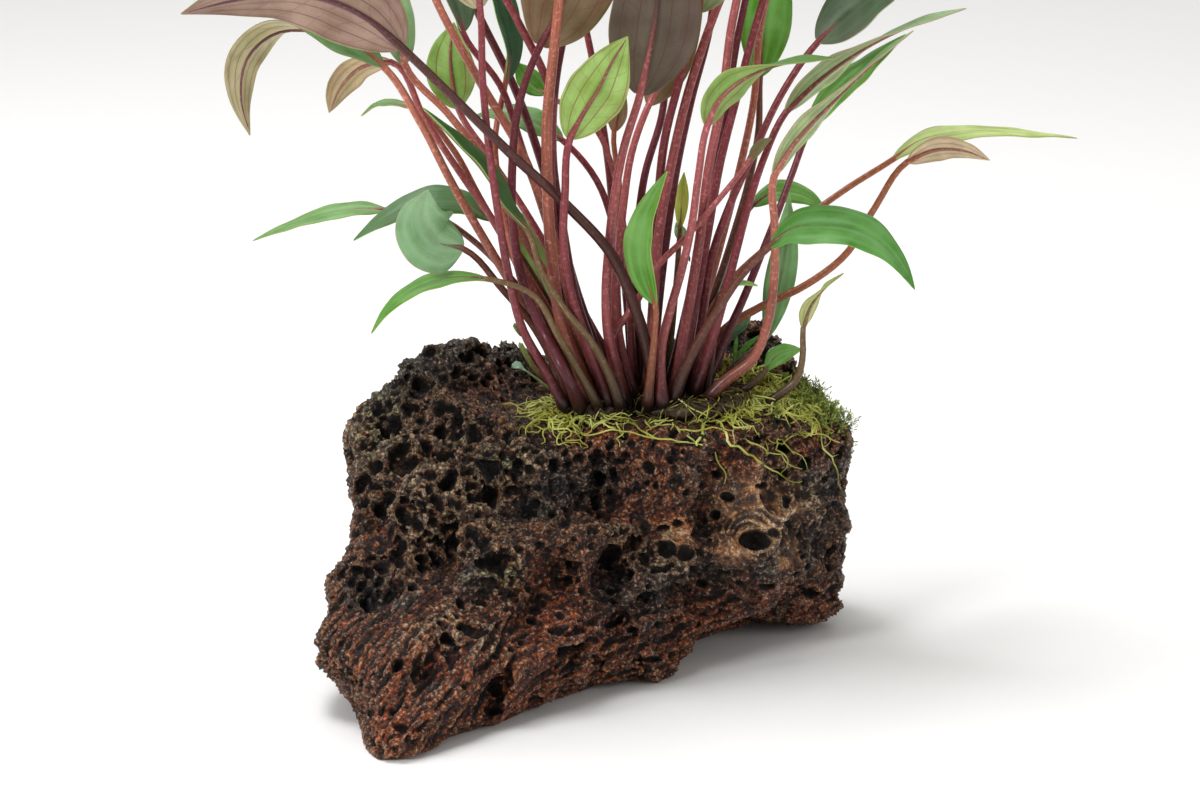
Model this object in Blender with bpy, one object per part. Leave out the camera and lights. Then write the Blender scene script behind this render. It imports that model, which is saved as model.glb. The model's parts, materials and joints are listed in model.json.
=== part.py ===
# Water plant with long red petioles, grown on a piece of lava rock.
# All sizes are in millimetres until a mesh is made; the meshes are in metres, +Z up.
# The origin is on the rock's flat base, straight under the place where the leaves start.
import math

import bmesh
import bpy
import numpy as np
from mathutils import Vector, noise

MM = 0.001

# Driving dimensions
SHELF_Z = 62.0          # height of the level hollow on the rock that the crowns sit in
CROWN_TOP = 66.0        # height at which the petioles leave the crowns
CROWN_REF = 64.0        # height of the point that leaf places are measured from
GAP = 0.35              # space kept between neighbouring pieces
START_CROWDING = 1.25   # sections of a petiole stand closer together near the crown
STALK_SIDES = 5         # corners of a petiole's section
STALK_STEP = 10.5       # length of petiole to one section, and the fewest and most sections
STALK_STEPS = (4, 7)
BLADE_STEP = 7.0        # the same for blades
BLADE_STEPS = (3, 6)
RIB_THICK = 1.1         # thickness of a blade at its midrib
NECK_SHARE = 0.16       # width of a blade where it leaves the petiole, as a share of its widest place
BASE_ROUNDNESS = 0.75   # powers that shape a blade's outline before and after its widest place
TIP_ROUNDNESS = 0.95
STALK_TAPER = 0.28      # share of its thickness that a petiole loses up to the blade
BASE_SWELL = 0.3        # how much thicker a petiole is where it leaves the crown
SWELL_RUN = 9.0         # length over which that swelling fades
ROCK_CENTRE = (-14.0, -9.0, 32.0)
ROCK_FACES = 4120       # triangles of the finished rock

# Leaf places are given as a viewer sees them who looks down at 15 degrees from 0.9 m:
# (right, up) in the plane through the crown, and depth along the line of sight, away being positive.
# Depths are counted from a plane that leans towards the viewer, so that the plant stands upright.
VIEW_TILT = math.radians(15.0)
VIEW_RANGE = 900.0
VIEW_AXIS_X = -12.5     # the line of sight passes this far to the left of the crown
FORWARD_LEAN = 0.2      # how far that plane comes forward for each unit upwards
COS_T = math.cos(VIEW_TILT)
SIN_T = math.sin(VIEW_TILT)
EYE = (VIEW_AXIS_X, -VIEW_RANGE * COS_T, CROWN_REF + VIEW_RANGE * SIN_T)


def to_world(p):
    """Turns (right, up, depth) rows into x, y, z rows."""
    p = np.asarray(p, float)
    scale = (VIEW_RANGE + p[..., 2]) / VIEW_RANGE
    across = (p[..., 0] - VIEW_AXIS_X) * scale + VIEW_AXIS_X
    up = p[..., 1] * scale
    deep = p[..., 2] * COS_T + up * SIN_T
    height = CROWN_REF + up * COS_T - p[..., 2] * SIN_T
    return np.stack([across, deep, height], -1)


def to_view(p):
    """Turns x, y, z rows into (right, up) rows as the viewer sees them."""
    p = np.asarray(p, float)
    away = p[..., 1] * COS_T - (p[..., 2] - CROWN_REF) * SIN_T
    up = p[..., 1] * SIN_T + (p[..., 2] - CROWN_REF) * COS_T
    scale = (VIEW_RANGE + away) / VIEW_RANGE
    return np.stack([(p[..., 0] - VIEW_AXIS_X) / scale + VIEW_AXIS_X, up / scale], -1)


# Each leaf: name, petiole radius, depths at base, neck and tip, petiole points, blade points,
# half width, upper side's direction at the base and at the tip of the blade, fold in degrees, widest place.
# The first petiole point's height is a start only: the petiole is brought down to the crown.
LEAVES = [
    ("leaf_left_droop", 1.25, (-9, -22, -28),
     [(-15, 1), (-20.3, 9.8), (-31.3, 24), (-44, 44.5), (-52.3, 59.3), (-58.5, 71.3), (-66.8, 83.5)],
     [(-66.8, 83.5), (-77, 90.5), (-90, 92.8), (-99, 88.5), (-102.5, 78), (-100, 66)],
     8.5, (0.15, 0.75, -0.6), (-0.6, 0.1, 0.8), 12, 0.35),
    ("leaf_left_big", 1.5, (-12, -30, -40),
     [(1.3, -1), (0.3, 8.8), (-2.8, 20), (-7, 32), (-15.5, 43.5), (-29, 56), (-47, 73.5), (-56.3, 82.8),
      (-62, 88)],
     [(-62, 88), (-70, 95), (-84, 101), (-101, 100.5), (-117.5, 96.5)],
     12.0, (-0.1, 0.5, 0.85), (-0.2, 0.7, 0.7), 14, 0.3),
    ("leaf_left_pink", 1.1, (-5, -12, -8),
     [(-15, 2), (-25, 18), (-37.5, 42), (-47.8, 57.3), (-55.8, 69.3), (-61.8, 80.3), (-64.8, 84.5)],
     [(-64.8, 84.5), (-69, 84.5), (-75.5, 81), (-80.3, 71.8)],
     4.8, (-0.4, 0.6, 0.7), (-0.6, 0.2, 0.8), 6, 0.55),
    ("leaf_left_narrow", 1.0, (1, -9, -5),
     [(-16, 2), (-24, 20), (-38.3, 43), (-45.8, 56.3), (-53.8, 69.3), (-60, 73.5)],
     [(-60, 73.5), (-64, 74.3), (-69, 73.6), (-72.3, 71)],
     2.4, (0.1, 0.9, -0.4), (-0.2, 0.9, -0.4), 10, 0.45),
    ("leaf_left_hanging", 1.2, (-6, -16, -10),
     [(-13, 2), (-24, 27), (-35.8, 48.3), (-44.5, 65.3), (-54, 75), (-61.3, 84)],
     [(-61.3, 84), (-64, 95), (-68, 103), (-72.5, 103), (-73.8, 95)],
     6.0, (-0.2, 0.4, 0.9), (-0.9, 0.1, 0.4), 8, 0.5),
    ("leaf_left_twisted", 1.0, (-13, -17, -19),
     [(-9.3, 0), (-14.5, 13.3), (-21.5, 22.8), (-28.3, 34.5), (-31, 43)],
     [(-31, 43), (-36.3, 48.8), (-40.5, 56.3), (-45.3, 61.5), (-49.8, 66), (-57, 73.3)],
     4.6, (0.7, 0.6, -0.5), (0.5, 0.8, -0.3), 30, 0.4),
    ("leaf_tall_front_left", 1.15, (-14, -26, -46),
     [(-18.8, 0), (-24, 7), (-32.3, 19.5), (-36.8, 40), (-39.5, 57.3), (-41.5, 74.5), (-42.5, 98)],
     [(-42.5, 98), (-46, 114), (-56, 128), (-70, 133)],
     10.5, (-0.5, 0.5, 0.6), (-0.4, 0.8, -0.2), 14, 0.35),
    ("leaf_left_rolled", 1.0, (-10, 2, 8),
     [(-16, 1), (-29, 22), (-35.5, 42), (-38, 55.8), (-38.5, 70), (-36, 80)],
     [(-36, 80), (-35, 86), (-37, 95), (-41, 108), (-47, 119)],
     5.5, (0.7, 0.4, -0.5), (0.3, 0.7, -0.6), 34, 0.4),
    ("leaf_left_olive", 1.0, (6, 10, 14),
     [(-12, 4), (-19, 13), (-25, 24)],
     [(-25, 24), (-28, 32), (-30.5, 40), (-31.3, 48)],
     5.0, (-0.3, 0.3, -0.9), (-0.3, 0.5, -0.8), 10, 0.5),
    ("leaf_tall_left_a", 1.3, (-6, -8, -30),
     [(-14, 2), (-18.5, 18), (-21.8, 33), (-27, 48.5), (-33, 64), (-41, 77), (-47.3, 87.5), (-54, 101),
      (-61, 116)],
     [(-61, 116), (-70, 126), (-83, 133), (-98, 132)],
     10.5, (-0.1, 0.9, 0.3), (-0.4, 0.8, -0.2), 12, 0.35),
    ("leaf_left_folded", 1.1, (0, -2, 10),
     [(-12, 3), (-20, 26), (-27, 48), (-33, 66), (-37, 77.8), (-43.3, 87.3), (-46.8, 92)],
     [(-46.8, 92), (-49, 100), (-54, 112), (-62, 122)],
     7.0, (0.6, 0.5, -0.6), (-0.2, 0.8, -0.4), 34, 0.35),
    ("leaf_tall_left_b", 1.25, (2, 8, 26),
     [(-11, 3), (-17, 22), (-22.5, 42), (-27.5, 60.5), (-33, 76), (-39.5, 89.8), (-45.3, 101), (-51, 113)],
     [(-51, 113), (-57, 126), (-66, 138), (-79, 145)],
     10.0, (-0.3, 0.7, 0.6), (-0.5, 0.8, 0.1), 12, 0.35),
    ("leaf_tall_left_c", 1.25, (-2, -12, -44),
     [(-12, 2), (-20, 18), (-24.5, 45), (-24.8, 62), (-25.3, 79), (-30.8, 91), (-37.3, 101), (-43, 112)],
     [(-43, 112), (-49, 124), (-56, 134), (-66, 138)],
     10.5, (-0.2, 0.6, 0.7), (-0.2, 0.9, -0.3), 12, 0.35),
    ("leaf_tall_centre_a", 1.6, (-9, -16, -50),
     [(-14, -1), (-19.5, 13), (-22.8, 22.3), (-24.8, 38), (-25.8, 62), (-25.3, 78), (-23.8, 89.5),
      (-22, 108)],
     [(-22, 108), (-22, 122), (-25, 134), (-31, 141)],
     11.5, (0.0, 0.5, 0.8), (-0.1, 0.9, -0.4), 12, 0.35),
    ("leaf_tall_centre_b", 1.3, (-3, 2, 22),
     [(-12, 2), (-18, 22), (-22, 44), (-24.5, 62.5), (-23.8, 78), (-21.8, 90.5), (-18, 107), (-16, 118)],
     [(-16, 118), (-13, 132), (-8, 145), (0, 153)],
     10.5, (0.1, 0.6, 0.7), (0.2, 0.9, 0.2), 12, 0.35),
    ("leaf_brown_upper", 1.3, (-12, -15, -12),
     [(-17, 0), (-25, 14), (-32, 30), (-34.5, 48), (-34, 64), (-32, 77.8), (-29.5, 84.5), (-27.5, 88.5)],
     [(-27.5, 88.5), (-23, 97), (-19, 107), (-15, 120), (-9, 134)],
     12.5, (-0.2, 0.3, 0.95), (0.1, 0.7, 0.6), 10, 0.33),
    ("leaf_back_green", 1.1, (9, 17, 21),
     [(-8, 4), (-20, 28), (-33, 50), (-43, 65), (-48, 73)],
     [(-48, 73), (-49.5, 80), (-50, 87), (-49, 94.5)],
     6.4, (-0.1, 0.2, 0.97), (-0.1, 0.5, 0.85), 6, 0.42),
    ("leaf_curled_small", 0.9, (2, 8, 11),
     [(-5, 3), (-6, 38), (-10, 60), (-17, 72), (-26, 76.5)],
     [(-26, 76.5), (-29.5, 79), (-33.5, 84.5)],
     3.4, (-0.3, 0.6, -0.7), (-0.3, 0.6, -0.7), 20, 0.45),
    ("leaf_back_level", 1.1, (5, 12, 18),
     [(-4, 3), (-7, 34), (-10.5, 47.8), (-13.8, 55.8), (-18, 62), (-22, 65)],
     [(-22, 65), (-28, 69), (-36, 71.8), (-44, 71)],
     4.6, (0.0, 0.75, -0.66), (-0.1, 0.8, -0.6), 10, 0.4),
    ("leaf_front_green", 1.25, (-10, -20, -27),
     [(-13, -1), (-18, 19.3), (-21.3, 33.8), (-21.3, 50), (-20.6, 60), (-20, 65.3)],
     [(-20, 65.3), (-15.7, 73.5), (-12.5, 78.5), (-9.5, 84.5), (-5.5, 91)],
     8.0, (-0.2, 0.25, 0.95), (-0.1, 0.45, 0.9), 6, 0.42),
    ("leaf_brown_centre", 1.35, (-8, -12, -10),
     [(-8, -1), (-11, 18), (-10.8, 30), (-9.5, 46), (-7.8, 57.3), (-5.5, 67), (-2.5, 76.3)],
     [(-2.5, 76.3), (0, 88), (2, 100), (2, 116), (-2, 132)],
     11.6, (0.0, 0.3, 0.95), (0.0, 0.8, 0.5), 8, 0.3),
    ("leaf_olive_centre", 1.2, (-4, -5, 4),
     [(-4, 1), (-7, 12.5), (-8.7, 27.3), (-7.3, 41.3), (-5.5, 57.3), (-2.3, 70), (-0.3, 73.8)],
     [(-0.3, 73.8), (3.5, 81), (6.5, 92), (10, 106), (16, 120)],
     6.5, (-0.1, 0.3, 0.95), (0.2, 0.8, 0.5), 14, 0.3),
    ("leaf_tall_centre_c", 1.3, (0, 0, -20),
     [(2, 2), (1, 30), (2.5, 55), (4.5, 69.8), (7.5, 80.3), (10, 90.5), (12, 97)],
     [(12, 97), (15, 112), (21, 126), (31, 136)],
     10.0, (0.1, 0.3, 0.9), (0.2, 0.9, 0.3), 10, 0.3),
    ("leaf_tall_centre_d", 1.35, (-3, -6, -34),
     [(-1, 1), (0.5, 20), (2, 40), (5, 57.3), (8.8, 74.5), (12.3, 85), (15.3, 94.3), (20, 106), (24, 115)],
     [(24, 115), (29, 128), (36, 138), (47, 143)],
     10.5, (0.2, 0.7, 0.6), (0.2, 0.9, -0.3), 12, 0.35),
    ("leaf_tall_centre_e", 1.2, (5, 10, 34),
     [(1, 4), (2, 22), (4, 40), (6.3, 56), (9.5, 72), (13.5, 86), (16, 100), (17, 112)],
     [(17, 112), (20, 126), (27, 139), (38, 147)],
     10.0, (0.2, 0.6, 0.7), (0.3, 0.9, 0.2), 12, 0.35),
    ("leaf_tall_back_a", 1.15, (8, 16, 46),
     [(-2, 4), (-3.5, 30), (-2.3, 51), (0.7, 64), (3.5, 74), (4, 92), (2, 108)],
     [(2, 108), (-1, 122), (-8, 134), (-20, 140)],
     10.0, (-0.1, 0.6, 0.7), (-0.2, 0.9, 0.2), 12, 0.35),
    ("leaf_tall_right_a", 1.35, (-5, -9, -38),
     [(6, 0), (9.5, 22), (13, 44), (15.3, 62.5), (18, 75), (19.8, 88.8), (22, 102), (26, 115)],
     [(26, 115), (33, 126), (43, 134), (56, 136)],
     10.5, (0.2, 0.8, 0.4), (0.3, 0.9, -0.2), 12, 0.35),
    ("leaf_tall_right_b", 1.2, (3, 10, 32),
     [(5, 3), (10, 26), (15, 48), (17.8, 65), (20.3, 80), (23, 96), (27, 110)],
     [(27, 110), (35, 123), (47, 132), (61, 134)],
     10.0, (0.1, 0.7, 0.5), (0.3, 0.9, 0.2), 12, 0.35),
    ("leaf_tall_right_c", 1.25, (0, 2, -12),
     [(7, 2), (12, 28), (16, 51), (18.5, 64), (22.3, 78), (25.3, 88), (29, 103), (34, 115)],
     [(34, 115), (43, 124), (56, 129), (70, 126)],
     10.5, (0.1, 0.9, 0.2), (0.4, 0.8, -0.1), 12, 0.35),
    ("leaf_tall_right_d", 1.15, (7, 14, 40),
     [(8, 4), (16, 33), (22, 56), (25.5, 71.3), (27, 88), (29, 101), (33, 112)],
     [(33, 112), (40, 123), (51, 130), (64, 131)],
     9.5, (0.1, 0.8, 0.4), (0.3, 0.9, 0.2), 12, 0.35),
    ("leaf_back_tall_green", 1.1, (10, 20, 26),
     [(9, 5), (18, 32), (24, 52), (26.8, 64), (27.3, 74), (27.5, 81)],
     [(27.5, 81), (28.5, 90), (30, 101), (34, 114)],
     6.6, (0.0, 0.3, -0.95), (0.2, 0.6, -0.7), 8, 0.4),
    ("leaf_front_right", 1.2, (-13, -22, -27),
     [(2.3, -2), (2, 9.5), (4, 19), (7.3, 30), (10.3, 43), (12.3, 57.3), (14.3, 68.5)],
     [(14.3, 68.5), (17.5, 75.5), (25, 81.3), (35, 84.6), (46.3, 85.5)],
     5.6, (-0.5, 0.3, 0.8), (-0.1, 0.85, -0.5), 12, 0.3),
    ("leaf_right_upper", 1.2, (-4, -6, -12),
     [(11, 2), (17, 20), (21, 35), (25.3, 51), (28.5, 60.5), (31, 65.3), (34, 72)],
     [(34, 72), (42, 80), (54, 88.3), (66, 94), (79.3, 98)],
     6.6, (-0.5, 0.7, 0.5), (-0.3, 0.85, -0.4), 10, 0.3),
    ("leaf_right_hooked", 1.3, (-8, -14, -18),
     [(14, -1), (18, 3.5), (24.8, 8.8), (29, 17.8), (30.8, 27.3), (31.2, 40), (31, 55.8)],
     [(31, 55.8), (36, 64.5), (46, 75), (56, 84.5), (66, 92.5)],
     5.2, (-0.6, 0.5, 0.6), (-0.4, 0.8, -0.3), 12, 0.35),
    ("leaf_right_band", 1.1, (4, 10, 14),
     [(12, 3), (18, 15), (24, 27), (29, 39.5), (33.3, 50.3), (37.5, 62), (40, 68)],
     [(40, 68), (45, 75.5), (54, 83.5), (64, 91.5)],
     5.0, (-0.4, 0.6, -0.7), (-0.3, 0.8, -0.5), 8, 0.4),
    ("leaf_right_drooping", 1.3, (-11, -24, -36),
     [(5, -1), (8.8, 8.8), (14, 17.8), (20.3, 27.5), (26, 35.5), (30, 38.5)],
     [(30, 38.5), (36, 43), (44, 43.8), (53, 42), (60.5, 36.5), (66.3, 27.5)],
     7.2, (-0.1, 0.75, -0.65), (0.6, 0.5, -0.6), 8, 0.35),
    ("leaf_right_dark", 1.15, (3, 4, 2),
     [(10, 3), (14, 27), (17, 43), (21, 50.5), (26, 62), (31.8, 74.5), (38, 84.8), (42, 89.5)],
     [(42, 89.5), (49, 96), (57, 102.5), (67, 109), (80, 112)],
     9.0, (-0.4, 0.5, -0.75), (-0.2, 0.9, -0.4), 14, 0.3),
    ("leaf_right_grey", 0.9, (5, 7, 11),
     [(18, 3), (21, 8), (26, 12.5), (29.5, 16)],
     [(29.5, 16), (31.5, 25), (33.8, 37), (34.8, 51.5)],
     4.2, (-0.3, 0.2, -0.95), (-0.2, 0.3, -0.9), 10, 0.4),
    ("leaf_right_edge", 0.95, (-4, -5, -7),
     [(29.5, -1), (33, 1.5), (37, 5.5), (38.3, 12), (38.3, 18)],
     [(38.3, 18), (39.5, 22.5), (43.5, 28), (48.5, 31.8)],
     3.4, (-0.5, 0.5, 0.7), (-0.5, 0.7, -0.4), 10, 0.4),
    ("leaf_right_far", 1.05, (8, 24, 32),
     [(9, 4), (16, 24), (30, 38.8), (41.8, 47.5), (52.3, 55), (61, 60.3)],
     [(61, 60.3), (68, 65), (80, 67), (94, 66.6), (107, 65.5)],
     6.5, (-0.1, 0.95, -0.4), (0.1, 0.98, -0.25), 8, 0.35),
    ("leaf_right_far_low", 1.1, (4, 13, 16),
     [(11, 2), (18, 16.5), (30, 24.5), (40.3, 29.5), (49.3, 36.8), (55, 46), (60, 54.5), (64.3, 59.5)],
     [(64.3, 59.5), (70, 62.3), (78, 62.5), (85, 60)],
     4.0, (0.1, 0.6, 0.8), (0.1, 0.7, 0.7), 8, 0.4),
    ("leaf_back_low_green", 0.9, (11, 17, 19),
     [(10, 5), (17, 26), (21, 40), (25.5, 48.5)],
     [(25.5, 48.5), (31, 52), (38, 51.3), (44.5, 47)],
     3.6, (-0.1, 0.6, -0.8), (0.2, 0.6, -0.7), 8, 0.45),
    ("leaf_centre_folded", 1.0, (-15, -18, -21),
     [(0.5, -3), (1.3, 14), (1.4, 24)],
     [(1.4, 24), (-1.3, 32), (-1.8, 41), (0.8, 49), (4.3, 57.3)],
     5.2, (-0.5, 0.2, -0.8), (-0.6, 0.3, -0.7), 32, 0.42),
    ("leaf_crossing", 0.95, (-7, -10, -11),
     [(-9, 2), (-11.3, 12.5), (-4.5, 23), (3, 35), (11.3, 43), (19.3, 52.8), (25, 60)],
     [(25, 60), (27.5, 63.5), (30.5, 65.5)],
     2.0, (-0.4, 0.6, -0.7), (-0.4, 0.6, -0.7), 10, 0.4),
    ("leaf_red_small", 0.9, (3, 4, 5),
     [(-7, 3), (-8.2, 30), (-7.6, 50), (-8, 60), (-9, 67)],
     [(-9, 67), (-8, 72), (-6.3, 77.5)],
     2.5, (0.1, 0.3, 0.9), (0.1, 0.3, 0.9), 12, 0.4),
    ("leaf_tall_back_b", 1.15, (10, 20, 50),
     [(-9, 5), (-9, 30), (-9.5, 50), (-12, 70), (-15, 88), (-19, 104)],
     [(-19, 104), (-25, 117), (-35, 127), (-48, 130)],
     9.5, (-0.2, 0.6, 0.7), (-0.3, 0.9, 0.2), 12, 0.35),
    ("leaf_low_left_far", 1.0, (4, 8, 8),
     [(-15, 4), (-28, 22), (-42, 38), (-55, 46.5), (-66, 47.5)],
     [(-66, 47.5), (-76, 47.5), (-88, 44.3), (-99.5, 39.8)],
     4.6, (0.05, 0.88, -0.48), (-0.2, 0.9, -0.4), 10, 0.3),
    ("leaf_low_left_mid", 1.0, (2, 0, -4),
     [(-14, 4), (-22, 18), (-31, 34), (-39.5, 45)],
     [(-39.5, 45), (-47, 49.5), (-57, 49.5), (-66, 45.5), (-74.3, 39.8)],
     5.4, (0.1, 0.75, -0.65), (-0.3, 0.75, -0.6), 10, 0.35),
    ("leaf_low_left_pale", 1.1, (-9, -17, -24),
     [(-21, 0), (-24, 11), (-31, 21), (-40.5, 31.5), (-46.7, 37.8)],
     [(-46.7, 37.8), (-52, 38.8), (-56.3, 42), (-57, 47.2), (-55.5, 52.6)],
     8.8, (0.1, 0.35, -0.9), (0.1, 0.25, -0.95), 5, 0.42),
    ("leaf_low_left_arched", 0.95, (-13, -18, -26),
     [(-15, 1), (-22, 13), (-26.5, 22.8), (-31.5, 28), (-41, 30.3)],
     [(-41, 30.3), (-50, 30.5), (-59.5, 27.3), (-66, 22), (-69.8, 16.5)],
     3.6, (0.1, 0.85, -0.5), (-0.5, 0.7, -0.5), 12, 0.4),
    ("leaf_young_yellow", 0.9, (6, 8, 8),
     [(3, 4), (6, 24), (7.5, 43)],
     [(7.5, 43), (8, 50), (8.5, 57)],
     1.9, (-0.1, 0.2, -0.9), (-0.1, 0.2, -0.9), 20, 0.5),
    ("leaf_young_bright", 0.7, (-3, -6, -9),
     [(14, 1), (16, 14), (17, 26)],
     [(17, 26), (21, 29), (27, 28.6)],
     1.9, (0.0, 0.9, -0.4), (0.0, 0.9, -0.4), 10, 0.4),
    ("leaf_round_small", 0.8, (0, 2, 3),
     [(22, 1), (25.5, 3), (29, 7)],
     [(29, 7), (31.5, 10.5), (34.5, 12), (38, 12.5)],
     2.9, (-0.3, 0.5, -0.8), (-0.2, 0.5, -0.8), 6, 0.5),
]


def smooth_path(points, steps, closeness=1.0):
    """Centripetal Catmull-Rom curve through points; a closeness over 1 crowds the sections at the start."""
    pts = np.asarray(points, float)
    ends = [2 * pts[0] - pts[1], *pts, 2 * pts[-1] - pts[-2]]
    dense = []
    for a, b, c, d in zip(ends, ends[1:], ends[2:], ends[3:]):
        t1 = np.linalg.norm(b - a) ** 0.5
        t2 = t1 + np.linalg.norm(c - b) ** 0.5
        t3 = t2 + np.linalg.norm(d - c) ** 0.5
        for t in np.linspace(t1, t2, 12, endpoint=False):
            ab = a + (b - a) * t / t1
            bc = b + (c - b) * (t - t1) / (t2 - t1)
            cd = c + (d - c) * (t - t2) / (t3 - t2)
            abc = ab + (bc - ab) * t / t2
            bcd = bc + (cd - bc) * (t - t1) / (t3 - t1)
            dense.append(abc + (bcd - abc) * (t - t1) / (t2 - t1))
    dense.append(pts[-1])
    dense = np.array(dense)
    run = np.concatenate([[0], np.cumsum(np.linalg.norm(np.diff(dense, axis=0), axis=1))])
    wanted = np.linspace(0, 1, steps + 1) ** closeness * run[-1]
    return np.stack([np.interp(wanted, run, dense[:, k]) for k in range(dense.shape[1])], 1)


def chain_length(points):
    return float(np.linalg.norm(np.diff(np.asarray(points, float), axis=0), axis=1).sum())


def unit(v):
    return v / np.maximum(np.linalg.norm(v, axis=-1, keepdims=True), 1e-9)


def width_share(t, widest):
    """Share of the half width at place t along a blade: round base, pointed tip."""
    rise = np.clip(t / widest, 0, 1)
    fall = np.clip((1 - t) / (1 - widest), 0, 1)
    base = NECK_SHARE + (1 - NECK_SHARE) * np.sin(rise * math.pi / 2) ** BASE_ROUNDNESS
    return np.where(t < widest, base, np.sin(fall * math.pi / 2) ** TIP_ROUNDNESS)


def leaf_lines(leaf, spot, stalk_steps, blade_steps):
    """Centre line, section frames, radii and half widths of a leaf, in view space. spot: where it starts."""
    name, radius, depths, stalk, blade, half, face, tip_face, fold, widest = leaf
    a = smooth_path(stalk, stalk_steps, START_CROWDING)
    away = np.linalg.norm(a - a[0], axis=1)
    a[:, 0] += (spot[0] - a[0, 0]) * np.exp(-(away / BASE_RUN) ** 2)
    b = smooth_path(blade, blade_steps)
    fa = np.linspace(0, 1, stalk_steps + 1) ** START_CROWDING
    fb = np.linspace(0, 1, blade_steps + 1)
    wa = spot[1] + (depths[1] - spot[1]) * (0.35 * fa + 0.65 * fa ** 2) - FORWARD_LEAN * a[:, 1]
    wb = depths[1] + (depths[2] - depths[1]) * fb - FORWARD_LEAN * b[:, 1]
    line = np.concatenate([np.c_[a, wa], np.c_[b, wb][1:]])
    along = unit(np.gradient(line, axis=0))
    turn = (fb * fb * (3 - 2 * fb))[:, None]
    up = np.zeros_like(line)
    up[stalk_steps:] = np.array(face) + (np.array(tip_face) - np.array(face)) * turn
    for i in range(stalk_steps, len(line)):
        up[i] -= along[i] * (up[i] @ along[i])
    up[stalk_steps:] = unit(up[stalk_steps:])
    for i in range(stalk_steps - 1, -1, -1):
        up[i] = unit(up[i + 1] - along[i] * (up[i + 1] @ along[i]))
    side = np.cross(along, up)
    run = np.concatenate([[0], np.cumsum(np.linalg.norm(np.diff(line, axis=0), axis=1))])
    taper = 1 - STALK_TAPER * np.clip(run / run[stalk_steps], 0, 1)
    radii = radius * (taper + BASE_SWELL * np.exp(-run / SWELL_RUN))
    halves = np.zeros(len(line))
    halves[stalk_steps:] = half * width_share(fb, widest)
    return line, side, up, radii, halves, run


def leaf_samples(leaf, spot):
    """Points that stand for a leaf's bulk while leaves are given room: place, size, share of length."""
    stalk_steps, blade_steps = SAMPLE_STEPS
    line, side, up, radii, halves, run = leaf_lines(leaf, spot, stalk_steps, blade_steps)
    share = run / run[-1]
    fold = math.radians(leaf[8])
    places = [line[:stalk_steps]]
    sizes = [radii[:stalk_steps] + 0.1]
    shares = [share[:stalk_steps]]
    for i in range(stalk_steps, len(line)):
        count = 1 + 2 * int(math.ceil(halves[i] / SAMPLE_GAP))
        for f in np.linspace(-1, 1, count):
            off = side[i] * f * halves[i] * math.cos(fold) + up[i] * abs(f) * halves[i] * math.sin(fold)
            places.append((line[i] + off)[None])
            sizes.append(np.array([SAMPLE_SIZE]))
            shares.append(share[i:i + 1])
    return np.concatenate(places), np.concatenate(sizes), np.concatenate(shares)


# How leaves are given room: each is stood for by samples, pairs that pass are parted in depth only
SAMPLE_STEPS = (36, 22)     # along a petiole, along a blade
SAMPLE_GAP = 2.2            # across a blade
SAMPLE_SIZE = 1.25          # radius of a blade's samples
ROOM_KNOTS = 19             # places along a leaf where its depth can shift
ROOM_ROUNDS = 1500
ROOM_SPARE = 0.25           # extra space aimed at, since sections are faceted
ROOM_NEAR = 4.6             # samples further apart than this, as seen, never meet
ROOM_BASE_SHIFT = 1.6       # most that a petiole's start can shift
BASE_LIMITS = (-23.0, 23.0)     # the petioles start between these places on the crowns
BASE_HALF_DEPTH = 13.5
BASE_ROUNDS = 900
BASE_SPARE = 0.22
BASE_RUN = 16.0         # length over which a petiole comes back to its own line from where it starts


def place_bases(leaves):
    """Spreads the petioles' starts until they stand side by side on the crowns: (right, depth) of each."""
    spots = np.array([[leaf[3][0][0], leaf[2][0]] for leaf in leaves], float)
    sizes = np.array([leaf[1] * (1 + BASE_SWELL) + GAP / 2 + BASE_SPARE for leaf in leaves])
    wanted = spots.copy()
    free = spots[:, 0] > BASE_LIMITS[1]
    for turn in range(BASE_ROUNDS):
        gap = spots[:, None] - spots[None]
        far = np.hypot(gap[..., 0], gap[..., 1]) + np.eye(len(spots)) * 99
        lack = np.clip(sizes[:, None] + sizes[None] - far, 0, None)
        push = (gap / far[..., None] * lack[..., None]).sum(1) * 0.35
        home = 0.01 * (wanted - spots) if turn < BASE_ROUNDS * 2 / 3 else 0
        spots += np.where(free[:, None], 0, push + home)
        spots[:, 1] = np.clip(spots[:, 1], -BASE_HALF_DEPTH, BASE_HALF_DEPTH)
        spots[~free, 0] = np.clip(spots[~free, 0], *BASE_LIMITS)
    return spots


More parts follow.
